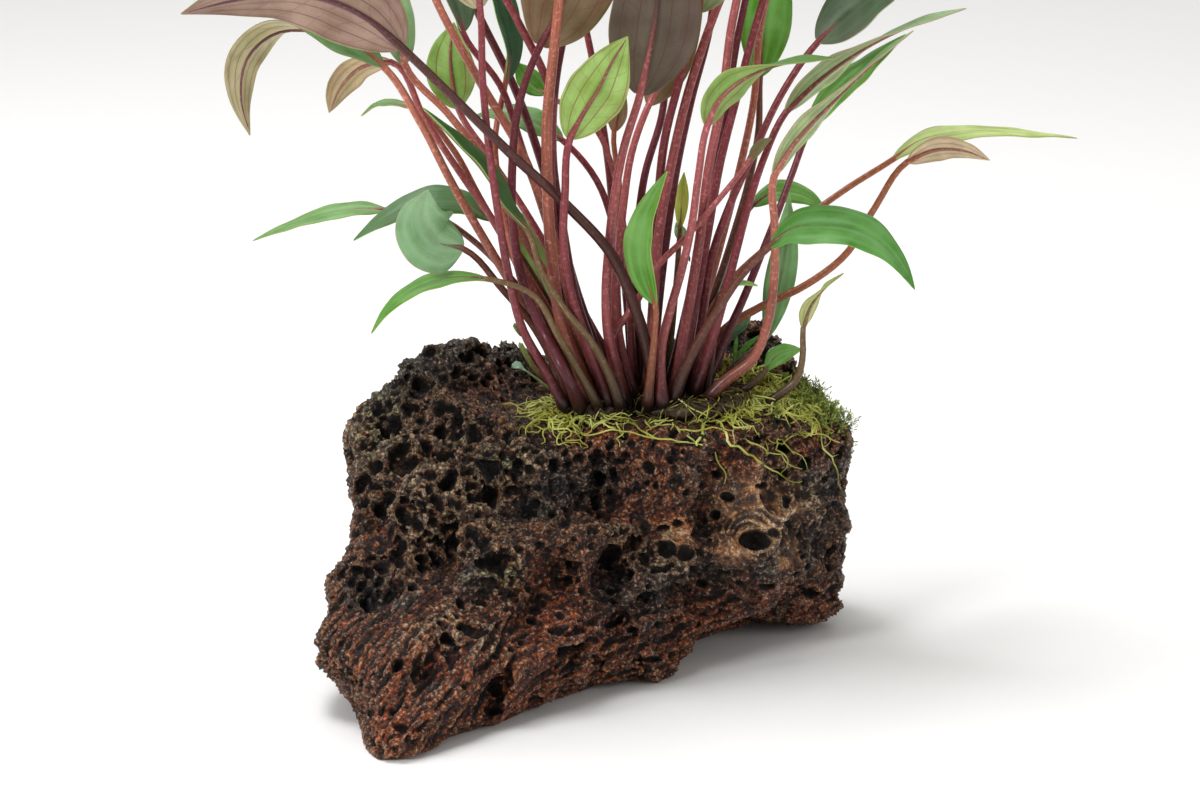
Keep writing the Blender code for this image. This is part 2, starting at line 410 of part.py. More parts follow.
def give_room(leaves, spots):
    """Shifts leaves along the line of sight until they clear one another; the front view stays as it is."""
    samples = [leaf_samples(leaf, spot) for leaf, spot in zip(leaves, spots)]
    place = np.concatenate([s[0] for s in samples])
    size = np.concatenate([s[1] for s in samples])
    share = np.concatenate([s[2] for s in samples])
    owner = np.repeat(np.arange(len(leaves)), [len(s[0]) for s in samples])
    firsts, seconds = [], []
    for i in range(len(place)):
        near = np.abs(place[i + 1:, 0] - place[i, 0]) < ROOM_NEAR
        near &= np.abs(place[i + 1:, 1] - place[i, 1]) < ROOM_NEAR
        near &= owner[i + 1:] != owner[i]
        j = np.nonzero(near)[0] + i + 1
        firsts.append(np.full(len(j), i))
        seconds.append(j)
    i, j = np.concatenate(firsts), np.concatenate(seconds)
    flat = np.hypot(place[i, 0] - place[j, 0], place[i, 1] - place[j, 1])
    reach = size[i] + size[j] + GAP + ROOM_SPARE
    keep = np.nonzero(flat < reach)[0]
    pair = owner[i] * len(leaves) + owner[j]
    keep = keep[np.lexsort((share[i[keep]], pair[keep]))]
    i, j, flat, reach, pair = i[keep], j[keep], flat[keep], reach[keep], pair[keep]
    apart = np.sqrt(reach ** 2 - flat ** 2)
    # Two leaves keep one order, front and back, along each stretch where they pass.
    fresh = np.concatenate([[0], (np.diff(pair) != 0) | (np.diff(share[i]) > 0.06)])
    stretch = np.cumsum(fresh).astype(int)
    say = 1 + 30 * np.exp(-share[i] / 0.05)
    order = np.zeros(stretch[-1] + 1)
    np.add.at(order, stretch, say * (place[i, 2] - place[j, 2]))
    sign = np.where(order[stretch] >= 0, 1.0, -1.0)
    spot = share * (ROOM_KNOTS - 1)
    low = np.minimum(spot.astype(int), ROOM_KNOTS - 2)
    mix = spot - low
    shift = np.zeros((len(leaves), ROOM_KNOTS))
    for turn in range(ROOM_ROUNDS):
        moved = shift[owner, low] * (1 - mix) + shift[owner, low + 1] * mix
        depth = place[:, 2] + moved
        lack = apart - sign * (depth[i] - depth[j])
        bad = lack > 0
        if not bad.any():
            break
        push = np.zeros(len(place))
        pull = np.zeros(len(place))
        step = 0.5 * (lack[bad] + 0.02)
        np.maximum.at(push, i[bad], np.where(sign[bad] > 0, step, 0))
        np.maximum.at(pull, i[bad], np.where(sign[bad] < 0, step, 0))
        np.maximum.at(push, j[bad], np.where(sign[bad] < 0, step, 0))
        np.maximum.at(pull, j[bad], np.where(sign[bad] > 0, step, 0))
        net = push - pull
        total = np.zeros_like(shift)
        weight = np.full_like(shift, 1e-6)
        live = np.abs(net) > 0
        np.add.at(total, (owner[live], low[live]), net[live] * (1 - mix[live]))
        np.add.at(weight, (owner[live], low[live]), 1 - mix[live])
        np.add.at(total, (owner[live], low[live] + 1), net[live] * mix[live])
        np.add.at(weight, (owner[live], low[live] + 1), mix[live])
        shift += total / np.maximum(weight, 0.35)
        if turn < ROOM_ROUNDS * 0.7:
            middle = (shift[:, :-2] + shift[:, 2:]) / 2
            shift[:, 1:-1] += 0.05 * (middle - shift[:, 1:-1])
        shift[:, 0] = np.clip(shift[:, 0], -ROOM_BASE_SHIFT, ROOM_BASE_SHIFT)
    return shift


def leaf_world(leaf, spot, shift, stalk_steps, blade_steps):
    """A leaf's sections in world millimetres: rows of STALK_SIDES corners."""
    line, side, up, radii, halves, run = leaf_lines(leaf, spot, stalk_steps, blade_steps)
    fold = math.radians(leaf[8])
    moved = np.interp(run / run[-1] * (ROOM_KNOTS - 1), np.arange(ROOM_KNOTS), shift)
    rings = []
    for i in range(len(line)):
        r, h = radii[i], halves[i]
        angles = [math.pi / 2 + 2 * math.pi * k / STALK_SIDES for k in range(STALK_SIDES)]
        ring = [(r * math.cos(a), r * math.sin(a)) for a in angles]
        if i > stalk_steps:
            t = RIB_THICK / 2 * (1 - 0.75 * (i - stalk_steps) / blade_steps)
            edge = (h * math.cos(fold), h * math.sin(fold))
            ring = [(0, 0.6 * t), (-edge[0], edge[1]), (-0.9 * t, -t), (0.9 * t, -t), edge]
        rings.append([line[i] + side[i] * x + up[i] * y for x, y in ring])
    rings = np.array(rings)
    rings[:, :, 2] += moved[:, None]
    world = to_world(rings)
    foot = (CROWN_TOP if spot[0] <= BASE_LIMITS[1] else MAT_TOP) + GAP
    drop = foot - world[0, :, 2].mean()
    world[:, :, 2] += (drop * np.exp(-run / SWELL_RUN))[:, None]
    world[0, :, 2] = foot
    return world


def mesh_object(name, verts, faces, material, smooth=True):
    mesh = bpy.data.meshes.new(name)
    mesh.from_pydata([tuple(v) for v in verts], [], faces)
    mesh.update()
    bm = bmesh.new()
    bm.from_mesh(mesh)
    bmesh.ops.recalc_face_normals(bm, faces=bm.faces)
    bmesh.ops.triangulate(bm, faces=bm.faces)
    bm.to_mesh(mesh)
    bm.free()
    if smooth:
        mesh.shade_smooth()
    mesh.materials.append(material)
    obj = bpy.data.objects.new(name, mesh)
    bpy.context.scene.collection.objects.link(obj)
    return obj


MATERIALS = [
    ("lava rock", (0.055, 0.03, 0.022), 0.5),       # linear colour, roughness
    ("leaf", (0.16, 0.28, 0.08), 0.45),
    ("rootstock", (0.09, 0.07, 0.03), 0.7),
    ("roots", (0.42, 0.45, 0.16), 0.6),
    ("moss", (0.15, 0.22, 0.04), 0.8),
]


def material(name, colour, roughness):
    mat = bpy.data.materials.new(name)
    mat.use_nodes = True
    shader = mat.node_tree.nodes["Principled BSDF"]
    shader.inputs["Base Color"].default_value = (*colour, 1.0)
    shader.inputs["Roughness"].default_value = roughness
    shader.inputs["Metallic"].default_value = 0.0
    return mat


def make_leaf(leaf, spot, shift, mat):
    stalk_steps = int(np.clip(round(chain_length(leaf[3]) / STALK_STEP), *STALK_STEPS))
    blade_steps = int(np.clip(round(chain_length(leaf[4]) / BLADE_STEP), *BLADE_STEPS))
    rings = leaf_world(leaf, spot, shift, stalk_steps, blade_steps)
    count = len(rings)
    verts = list(rings[:-1].reshape(-1, 3) * MM)
    tip = len(verts)
    verts.append(rings[-1].mean(0) * MM)
    faces = [list(range(STALK_SIDES))]
    for i in range(count - 2):
        for k in range(STALK_SIDES):
            m = (k + 1) % STALK_SIDES
            a, b = i * STALK_SIDES, (i + 1) * STALK_SIDES
            faces.append([a + k, b + k, b + m, a + m])
    last = (count - 2) * STALK_SIDES
    for k in range(STALK_SIDES):
        faces.append([last + k, tip, last + (k + 1) % STALK_SIDES])
    return mesh_object(leaf[0], verts, faces, mat)


# The rock's outside: places on its surface, chosen round its outline and over its faces (x, y, z).
ROCK_MARKS = [
    # upper rim, left to right
    (-69, 6, 64), (-64, 10, 68), (-62, 14, 72), (-53, 15, 75), (-43, 17, 76.5), (-33, 18, 75.5),
    (-20, 21, 74), (-5, 23, 74), (12, 24, 76), (22, 24, 79.5), (31, 24, 80), (36, 20, 73), (42, 14, 67),
    (47, 10, 60),
    # right side, downwards
    (52.5, 10, 49.5), (49, 12, 39.7), (52, 13, 28.8), (50, 14, 18), (51, 16, 6.4), (47, 17, 1),
    # lower front edge, right to left
    (39, 10, 1.5), (26, 4, 4), (18, -3, 3), (13, -9, 1), (9, -18, 0), (3.5, -30, 0), (-12.5, -41, 0),
    (-22, -47, 0), (-34, -59, 0), (-49, -72, 0), (-59, -84, 1), (-65, -82.5, 1), (-69, -74, 1), (-72, -66, 4),
    # left side, upwards
    (-73, -60, 9), (-80, -55, 15), (-80, -45, 21), (-79, -38, 27), (-75, -30, 32), (-75, -20, 39),
    (-74.5, -8, 51), (-76, 0, 55),
    # front faces
    (-45, -12, 56), (-60, -5, 58), (-62, -22, 42), (-45, -35, 34), (-62, -45, 28), (-45, -60, 20),
    (-58, -74, 13), (-67, -81, 8), (-60, -82, 7), (-30, -30, 46), (-28, -50, 24), (-38, -17, 60),
    (-22, -19, 59.5), (-6, -19, 59), (10, -18, 58.5), (24, -14, 57), (38, -6, 56), (-12, -25, 45),
    (-11, -31, 30), (-8, -36, 20), (-20, -28, 46), (-22, -40, 31), (-36, -48, 30), (-20, -48, 14),
    (-36, -60, 12), (-2, -29, 36), (-48, -46, 32), (10, -19, 40), (8, -20, 24), (4, -26, 14), (28, -10, 42),
    (28, -8, 29), (28, -4, 15), (42, 0, 40), (42, 2, 24), (40, 4, 12), (50, 6, 52),
    # top
    (-50, 2, 67), (-34, -2, 64), (-20, 0, 62), (0, 0, 62), (16, 0, 62), (28, 2, 63), (36, 4, 63),
    (-30, 10, 70), (0, 14, 66), (20, 14, 68),
    # back and base
    (-64, 24, 50), (-66, 26, 22), (-60, 28, 4), (-45, 36, 62), (-42, 42, 30), (-38, 40, 4), (-15, 40, 64),
    (-12, 45, 32), (-10, 43, 4), (18, 38, 66), (20, 43, 34), (20, 42, 4), (42, 32, 58), (47, 34, 28),
    (44, 33, 3), (-66, -20, 8), (-68, 6, 20), (-70, -8, 30), (-71, 14, 42), (51, 24, 14), (51, 22, 40),
    # under the base, which is cut off level
    (-30, 0, -7), (0, 10, -7), (20, 22, -7), (-45, -45, -7), (-20, 28, -7), (-58, -60, -6), (-10, -20, -7),
    (-46, -4, -7), (-35, 16, -7), (-35, -22, -7), (-50, 10, -6), (2, -10, -6), (36, 26, -5), (-52, -20, -5),
    (-50, -68, -5),
]

# The rock's outline as that viewer sees it, clockwise from the left end of its upper edge (right, up).
ROCK_OUTLINE = [
    (-76.5, -9), (-76, -6), (-74, -2.5), (-71.5, 0.5), (-68, 3), (-64, 6), (-62.5, 9), (-59.5, 12.5),
    (-56, 14), (-51.5, 15), (-47.5, 15.5), (-43, 16), (-38, 16), (-34, 15.5), (-29, 15), (-25, 14.5),
    (-18, 14),
    (-12.5, 14.5), (-4, 15), (4, 16), (12.5, 17), (20, 21), (29, 21), (32.5, 17.5), (35.5, 12.5), (38, 7.5),
    (41, 4.5), (43.5, 2), (44.5, -1), (47.5, -4), (50, -6), (51, -9), (51, -11.5), (50.5, -15),
    (49.5, -18.5),
    (49, -21.5), (49, -25.5), (50.5, -30), (50.5, -33.5), (49, -38.5), (49, -48.5), (49, -51.5), (46.5, -54),
    (44, -56), (39, -56.5), (33.5, -56), (29, -55.5), (25, -55.5), (21, -56.5), (16, -58.5), (11.5, -60.5),
    (8.5, -64), (6, -68.5), (2.5, -71), (-3.5, -70), (-8.5, -70.5), (-14, -72), (-21, -74), (-26, -76),
    (-33.5, -79), (-38.5, -81.5), (-44, -83), (-49, -84), (-52.5, -86.5), (-55, -88.5), (-61, -90),
    (-67.5, -90), (-71, -88), (-72.5, -85), (-73, -81), (-74.5, -76), (-77, -72), (-81.5, -68.5),
    (-84, -66), (-84, -62),
    (-82.5, -55), (-80, -51.5), (-81.5, -46.5), (-80.5, -42.5), (-76.5, -39), (-76, -37.5), (-75, -31.5),
    (-75, -26.5), (-76, -21.5), (-76.5, -16.5), (-76.5, -12.5),
]
OUTLINE_PARTS = 240     # directions round the outline in which the rock is brought to it
OUTLINE_ROUNDS = 6
OUTLINE_REACH = 4       # the higher, the nearer to the outline a place must be to be moved with it
OUTLINE_GROWTH = 1.1    # the rock isn't stretched by more than this

# Hollows: place on the surface, radius, depth
ROCK_HOLLOWS = [
    (-62, -2, 54, 6.5, 4.0), (-68, -28, 36, 8, 5.0), (-51, -3, 56, 4.5, 3.5), (-61, -16, 45, 4.5, 3.5),
    (27, -9, 30, 6.5, 5.5), (-8, -24, 30, 6, 4.0), (-14, -23, 47, 4, 1.8), (5, -20, 34, 5, 3.0),
    (-43, -20, 52, 5, 3.5), (40, 2, 16, 5, 3.0), (15, -18, 38, 4.5, 3.0), (-42, -32, 38, 5, 3.0),
    (-72, -42, 22, 5, 3.5), (36, -4, 50, 4.5, 2.5), (-20, 44, 40, 8, 4.0), (20, 43, 24, 7, 4.0),
    (-66, 20, 36, 7, 4.0), (50, 24, 30, 6, 3.0),
]

# The larger pits on the side that the viewer sees: right, up, half width, half height, depth
SEEN_PITS = [
    (-62, -15, 4.0, 3.8, 5.0), (-51.7, -12.9, 2.8, 2.2, 4.0), (-42, -16.3, 3.6, 2.2, 4.0),
    (-43.8, -8.8, 2.7, 2.5, 4.0), (-61.7, -27.5, 2.4, 3.8, 4.0), (-68, -34, 4.2, 5.8, 4.0),
    (-49.6, -25.4, 3.4, 1.8, 3.0), (-13.3, -19.8, 2.6, 2.4, 4.0), (-10, -38.3, 3.4, 2.8, 3.6),
    (5.8, -37.5, 5.2, 2.8, 4.0), (-38.3, -40.8, 5.2, 3.0, 4.0), (26.5, -34.8, 4.6, 2.9, 6.0),
    (-55.8, -68.3, 4.4, 5.0, 3.0), (-57, 4, 3.2, 2.4, 4.0), (-48, 3.5, 2.8, 2.2, 4.0),
    (-20.8, -57.5, 5.0, 2.0, 2.6), (-44, -57.5, 4.2, 2.0, 2.4), (-42.1, -35, 2.3, 2.3, 3.4),
    (39.6, -48, 3.2, 1.8, 2.4), (29.2, -47, 2.6, 1.6, 2.4), (-72, -46.4, 2.3, 2.2, 3.0),
    (-21.3, -30.4, 2.6, 2.3, 2.6), (-38.8, -77.5, 2.8, 1.8, 2.4), (-62.5, -81.7, 2.6, 1.6, 2.4),
    (14, -24, 2.4, 2.2, 2.6), (38, -30, 2.6, 2.0, 2.4), (-28, -50, 3.0, 2.0, 2.8), (-2, -52, 3.0, 1.8, 2.4),
]
PIT_REACH = 14.0        # a pit's mouth doesn't reach further from its middle than this

# More pits are spread along a spiral from the rock's top to its base.
SPIRAL_PITS = 230
GOLDEN_TURN = math.pi * (3 - math.sqrt(5))
SPIRAL_SIZES = (2.3, 3.9)
SPIRAL_DEPTH = 0.85     # depth of such a pit, as a share of its radius
PIT_LOWEST = 6.0
PIT_FREE = ((-44.0, 58.0), (-24.0, 26.0), 48.0)     # none under the crowns, mats and moss: x, y, above z

# Lumps all over the rock: how fine, how high, and whether they are ridges with sharp valleys
ROCK_LUMPS = [(0.055, 2.4, False), (0.15, -3.0, True), (0.3, 1.0, False)]
ROCK_OUT = 0.6          # the surface is moved out a little, since the valleys take away from it
MARK_BLUR = 0.04        # angle over which one place on the surface gives way to the next

# The crevice across the lower front: places along it, half height, depth
CREVICE = [(-46, -55, 29), (-30, -51, 26), (-14, -50, 24), (2, -37, 22), (18, -20, 22)]
CREVICE_HALF = 4.5
CREVICE_DEPTH = 4.5

SHELF_SPREAD = (37.0, 21.0)     # half lengths of the level hollow round the crowns
SHELF_MIDDLE = (-1.0, 0.0)
SHELF_BLEND = 0.35              # the hollow runs out over this share of those lengths
SHELF_LOWEST = 45.0             # the rock below this height has no part in the hollow
CROWNS = {
    "crown_left": ((-13.8, 0.0), (9.2, 15.0)),      # middle, half lengths
    "crown_right": ((10.2, 0.0), (13.4, 15.0)),
}
CROWN_BOXINESS = 3.2            # 2 is an ellipse, more is nearer a rectangle


# The mats of roots and the moss lie on the rock
MAT_INNER = 0.45        # from the rock to a mat's inner side
MAT_THICK = 1.8
MAT_RIM = 0.55          # share of that thickness left at a mat's rim
MAT_MARGIN = 0.8        # space kept round the crowns
MAT_EDGE = 8.0          # longer edges under a mat are halved, which leaves the surface as it is
MAT_STEEPEST = 0.15     # the rock is covered only where it looks upwards by this much
MAT_TOP = SHELF_Z + MAT_INNER + MAT_THICK
MATS = {
    "root_mat_left": ((-22.0, -7.0), (19.0, 18.0), "roots"),     # middle, half lengths, material
    "root_mat_right": ((22.5, 4.0), (10.5, 18.0), "roots"),
    "moss": ((47.5, 6.0), (9.0, 14.0), "moss"),
}


def distance_to_chain(points, chain):
    best = np.full(len(points), 1e9)
    for a, b in zip(chain, chain[1:]):
        a, b = np.array(a, float), np.array(b, float)
        t = np.clip((points - a) @ (b - a) / ((b - a) @ (b - a)), 0, 1)
        best = np.minimum(best, np.linalg.norm(points - (a + t[:, None] * (b - a)), axis=1))
    return best


def outline_reach(middle, angles):
    """How far the rock's outline lies from a middle point, in each direction."""
    a = np.array(ROCK_OUTLINE, float) - middle
    b = np.roll(a, -1, axis=0)
    ray = np.stack([np.cos(angles), np.sin(angles)], -1)[:, None]
    edge = b - a
    cross = ray[..., 0] * edge[:, 1] - ray[..., 1] * edge[:, 0]
    far = (a[:, 0] * edge[:, 1] - a[:, 1] * edge[:, 0]) / cross
    along = (a[:, 0] * ray[..., 1] - a[:, 1] * ray[..., 0]) / cross
    return np.where((far > 0) & (along >= 0) & (along <= 1), far, 0).max(1)


def fit_outline(centre, rays, radius):
    """Stretches or shrinks the rock near its edge, as seen, until its outline is the one in the table."""
    middle = to_view(centre)
    angles = (np.arange(OUTLINE_PARTS) + 0.5) / OUTLINE_PARTS * 2 * math.pi - math.pi
    target = outline_reach(middle, angles)
    most = radius * OUTLINE_GROWTH
    floor = np.where(rays[:, 2] < 0, centre[2] / np.maximum(-rays[:, 2], 1e-6), 1e6)
    for turn in range(OUTLINE_ROUNDS):
        points = centre + rays * np.minimum(radius, floor)[:, None]
        seen = to_view(points) - middle
        angle = np.arctan2(seen[:, 1], seen[:, 0])
        far = np.hypot(seen[:, 0], seen[:, 1])
        part = np.clip((angle + math.pi) / (2 * math.pi) * OUTLINE_PARTS, 0, OUTLINE_PARTS - 1).astype(int)
        reach = np.zeros(OUTLINE_PARTS)
        np.maximum.at(reach, part, far)
        rate = np.interp(angle, angles, target / reach, period=2 * math.pi)
        share = np.clip(far / np.interp(angle, angles, reach, period=2 * math.pi), 0, 1)
        radius = np.minimum(radius, floor * OUTLINE_GROWTH)
        radius = np.minimum(radius * (1 + (rate - 1) * share ** OUTLINE_REACH), most)
    return radius


def seen_pits(points):
    """How deep the pits of the table are at each point, each with the oval mouth that the viewer sees."""
    sunk = np.zeros(len(points))
    seen = to_view(points)
    distance = np.linalg.norm(points - EYE, axis=1)
    for right, up, wide, high, depth in SEEN_PITS:
        far = np.hypot((seen[:, 0] - right) / wide, (seen[:, 1] - up) / high)
        middle = points[np.argmin(np.where(far < 1, distance, np.inf))]
        far[np.linalg.norm(points - middle, axis=1) > PIT_REACH] = 1
        sunk = np.maximum(sunk, depth * np.sqrt(np.clip(1 - far ** 2, 0, 1)))
    return sunk


def spiral_pits(points, rays):
    """How deep the pits of the spiral are at each point."""
    sunk = np.zeros(len(points))
    smallest, largest = SPIRAL_SIZES
    (left, right), (front, back), lowest = PIT_FREE
    for k in range(SPIRAL_PITS):
        rise = 1 - 2 * (k + 0.5) / SPIRAL_PITS
        level = math.sqrt(1 - rise ** 2)
        way = np.array([level * math.cos(k * GOLDEN_TURN), level * math.sin(k * GOLDEN_TURN), rise])
        x, y, z = middle = points[np.argmax(rays @ way)]
        covered = left < x < right and front < y < back and z > lowest
        if covered or z < PIT_LOWEST:
            continue
        size = smallest + (largest - smallest) * (k * GOLDEN_TURN % 1)
        far = np.linalg.norm(points - middle, axis=1) / size
        sunk = np.maximum(sunk, SPIRAL_DEPTH * size * np.sqrt(np.clip(1 - far ** 2, 0, 1)))
    return sunk


def make_rock(mat):
    bm = bmesh.new()
    bmesh.ops.create_icosphere(bm, subdivisions=7, radius=1.0)
    rays = np.array([v.co[:] for v in bm.verts])
    rays = unit(rays)
    centre = np.array(ROCK_CENTRE)
    marks = np.array(ROCK_MARKS, float) - centre
    reach = np.linalg.norm(marks, axis=1)
    marks = marks / reach[:, None]
    angle = np.arccos(np.clip(rays @ marks.T, -1, 1))
    weight = 1 / (angle ** 2 + MARK_BLUR ** 2) ** 2
    radius = (weight * reach).sum(1) / weight.sum(1)
    points = centre + rays * radius[:, None]
    for turn, (fineness, height, sharp) in enumerate(ROCK_LUMPS):
        lump = np.array([noise.noise(Vector(p) * fineness + Vector((7.0 * turn, 3.0, 1.0))) for p in points])
        radius += height * (np.abs(lump) if sharp else lump)
    radius += ROCK_OUT
    points = centre + rays * radius[:, None]
    for x, y, z, size, depth in ROCK_HOLLOWS:
        far = np.linalg.norm(points - (x, y, z), axis=1) / size
        radius -= depth * np.clip(1 - far ** 2, 0, 1) ** 0.7
    near = distance_to_chain(points, CREVICE) / CREVICE_HALF
    radius -= CREVICE_DEPTH * np.clip(1 - near ** 2, 0, 1)
    radius = fit_outline(centre, rays, radius)
    points = centre + rays * radius[:, None]
    radius -= np.maximum(seen_pits(points), spiral_pits(points, rays))
    points = centre + rays * radius[:, None]
    off_x = (points[:, 0] - SHELF_MIDDLE[0]) / SHELF_SPREAD[0]
    off_y = (points[:, 1] - SHELF_MIDDLE[1]) / SHELF_SPREAD[1]
    level = np.clip((1 + SHELF_BLEND - np.hypot(off_x, off_y)) / SHELF_BLEND, 0, 1)
    level *= points[:, 2] > SHELF_LOWEST
    points[:, 2] += (SHELF_Z - points[:, 2]) * level
    for v, p in zip(bm.verts, points):
        v.co = Vector(p * MM)
    mesh = bpy.data.meshes.new("rock")
    bm.to_mesh(mesh)
    bm.free()
    obj = bpy.data.objects.new("lava_rock", mesh)
    bpy.context.scene.collection.objects.link(obj)
    thin = obj.modifiers.new("fewer faces", "DECIMATE")
    thin.ratio = ROCK_FACES / len(mesh.polygons)
    done = bpy.data.meshes.new_from_object(obj.evaluated_get(bpy.context.evaluated_depsgraph_get()))
    obj.modifiers.remove(thin)
    obj.data = done
    bpy.data.meshes.remove(mesh)
    bm = bmesh.new()
    bm.from_mesh(done)
    whole = bm.verts[:] + bm.edges[:] + bm.faces[:]
    bmesh.ops.bisect_plane(bm, geom=whole, plane_co=(0, 0, 0), plane_no=(0, 0, -1), clear_outer=True)
    bmesh.ops.holes_fill(bm, edges=[e for e in bm.edges if e.is_boundary])
    bmesh.ops.triangulate(bm, faces=bm.faces)
    bmesh.ops.recalc_face_normals(bm, faces=bm.faces)
    bm.to_mesh(done)
    bm.free()
    done.materials.append(mat)
    done.shade_smooth()
    done.set_sharp_from_angle(angle=math.radians(50))
    return obj


def make_crown(name, middle, half, mat):
    """A low rootstock: an oval block with a level top that the petioles stand on."""
    sides, verts, faces = 14, [], []
    floor = SHELF_Z + GAP
    levels = [(floor, 0.86), (floor + 1.2, 1.0), (CROWN_TOP - 0.9, 1.0), (CROWN_TOP, 0.88)]
    for z, share in levels:
        for k in range(sides):
            a = 2 * math.pi * k / sides
            c, s = math.cos(a), math.sin(a)
            far = (abs(c) ** CROWN_BOXINESS + abs(s) ** CROWN_BOXINESS) ** (-1 / CROWN_BOXINESS)
            far *= share * (1 + 0.03 * math.sin(3 * a + z))
            verts.append((MM * (middle[0] + half[0] * far * c), MM * (middle[1] + half[1] * far * s), MM * z))
    faces.append(list(range(sides)))
    for i in range(len(levels) - 1):
        for k in range(sides):
            m = (k + 1) % sides
            faces.append([i * sides + k, (i + 1) * sides + k, (i + 1) * sides + m, i * sides + m])
    faces.append(list(range((len(levels) - 1) * sides, len(levels) * sides)))
    return mesh_object(name, verts, faces, mat, smooth=False)


def in_crown(x, y, margin):
    """Whether a place lies under one of the crowns, or within a margin of it."""
    for (mx, my), (hx, hy) in CROWNS.values():
        off_x, off_y = abs(x - mx) / (hx + margin), abs(y - my) / (hy + margin)
        if off_x ** CROWN_BOXINESS + off_y ** CROWN_BOXINESS < 1:
            return True
    return False


def make_mat(name, rock, middle, half, mat):
    """A felt of roots or moss: the rock's own faces there, lifted to an inner and an outer skin."""
    bm = bmesh.new()
    bm.from_mesh(rock.data)
    bm.normal_update()
    for turn in range(2):
        wide = set()
        for face in bm.faces:
            x, y = face.calc_center_median().xy / MM
            if max(abs(x - middle[0]) / half[0], abs(y - middle[1]) / half[1]) < 1.4:
                wide.update(e for e in face.edges if e.calc_length() > MAT_EDGE * MM)
        bmesh.ops.subdivide_edges(bm, edges=list(wide), cuts=1)
        bmesh.ops.triangulate(bm, faces=bm.faces)
    bm.normal_update()
    gone = []
    for face in bm.faces:
        x, y = face.calc_center_median().xy / MM
        inside = ((x - middle[0]) / half[0]) ** 2 + ((y - middle[1]) / half[1]) ** 2 < 1
        spots = [v.co for v in face.verts] + [(e.verts[0].co + e.verts[1].co) / 2 for e in face.edges]
        near = any(in_crown(*(spot.xy / MM), MAT_MARGIN) for spot in spots + [face.calc_center_median()])
        if not inside or near or face.normal.z < MAT_STEEPEST:
            gone.append(face)
    bmesh.ops.delete(bm, geom=gone, context="FACES")
    # Only the largest patch is kept, and no corner may hang on by a point.
    while True:
        pinched = [v for v in bm.verts if sum(e.is_boundary for e in v.link_edges) > 2]
        if not pinched:
            break
        bmesh.ops.delete(bm, geom=pinched[:1], context="VERTS")
    left = set(bm.faces)
    patches = []
    while left:
        patch, queue = set(), [left.pop()]
        while queue:
            face = queue.pop()
            patch.add(face)
            for edge in face.edges:
                for other in edge.link_faces:
                    if other in left:
                        left.remove(other)
                        queue.append(other)
        patches.append(patch)
    largest = max(patches, key=len)
    bmesh.ops.delete(bm, geom=[f for f in bm.faces if f not in largest], context="FACES")
    bm.verts.ensure_lookup_table()
    bm.verts.index_update()
    bm.normal_update()
    inner = [v.co + v.normal * MAT_INNER * MM for v in bm.verts]
    edge_share = [MAT_RIM if any(e.is_boundary for e in v.link_edges) else 1.0 for v in bm.verts]
    outer = [v.co + v.normal * (MAT_INNER + MAT_THICK * s) * MM for v, s in zip(bm.verts, edge_share)]
    count = len(inner)
    faces = []
    for face in bm.faces:
        corners = [v.index for v in face.verts]
        faces.append([c + count for c in corners])
        faces.append(corners[::-1])
    for edge in bm.edges:
        if edge.is_boundary:
            loop = edge.link_loops[0]
            a, b = loop.vert.index, loop.link_loop_next.vert.index
            faces.append([a, b, b + count, a + count])
    bm.free()
    return mesh_object(name, inner + outer, faces, mat)


def main():
    for obj in list(bpy.data.objects):
        bpy.data.objects.remove(obj, do_unlink=True)
    mats = {name: material(name, colour, roughness) for name, colour, roughness in MATERIALS}
    rock = make_rock(mats["lava rock"])
    for name, (middle, half) in CROWNS.items():
        make_crown(name, middle, half, mats["rootstock"])
    for name, (middle, half, kind) in MATS.items():
        make_mat(name, rock, middle, half, mats[kind])
    spots = place_bases(LEAVES)
    for leaf, spot, shift in zip(LEAVES, spots, give_room(LEAVES, spots)):
        make_leaf(leaf, spot, shift, mats["leaf"])


main()
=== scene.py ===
# %% [markdown]
# # A water plant on a piece of lava rock
# The plant is a cryptocoryne: a rosette of long red stalks with soft, veined blades. It has been tied to a
# piece of porous lava rock, and its pale roots have spread over the stone. This lesson dresses the plain
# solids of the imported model: the rock gets its pits and crusts, the leaves their blades and veins, and the
# roots and moss are grown strand by strand.

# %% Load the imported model
import json
import math

import bmesh
import bpy
import numpy as np
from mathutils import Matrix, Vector, noise
from mathutils.bvhtree import BVHTree
from mathutils.kdtree import KDTree

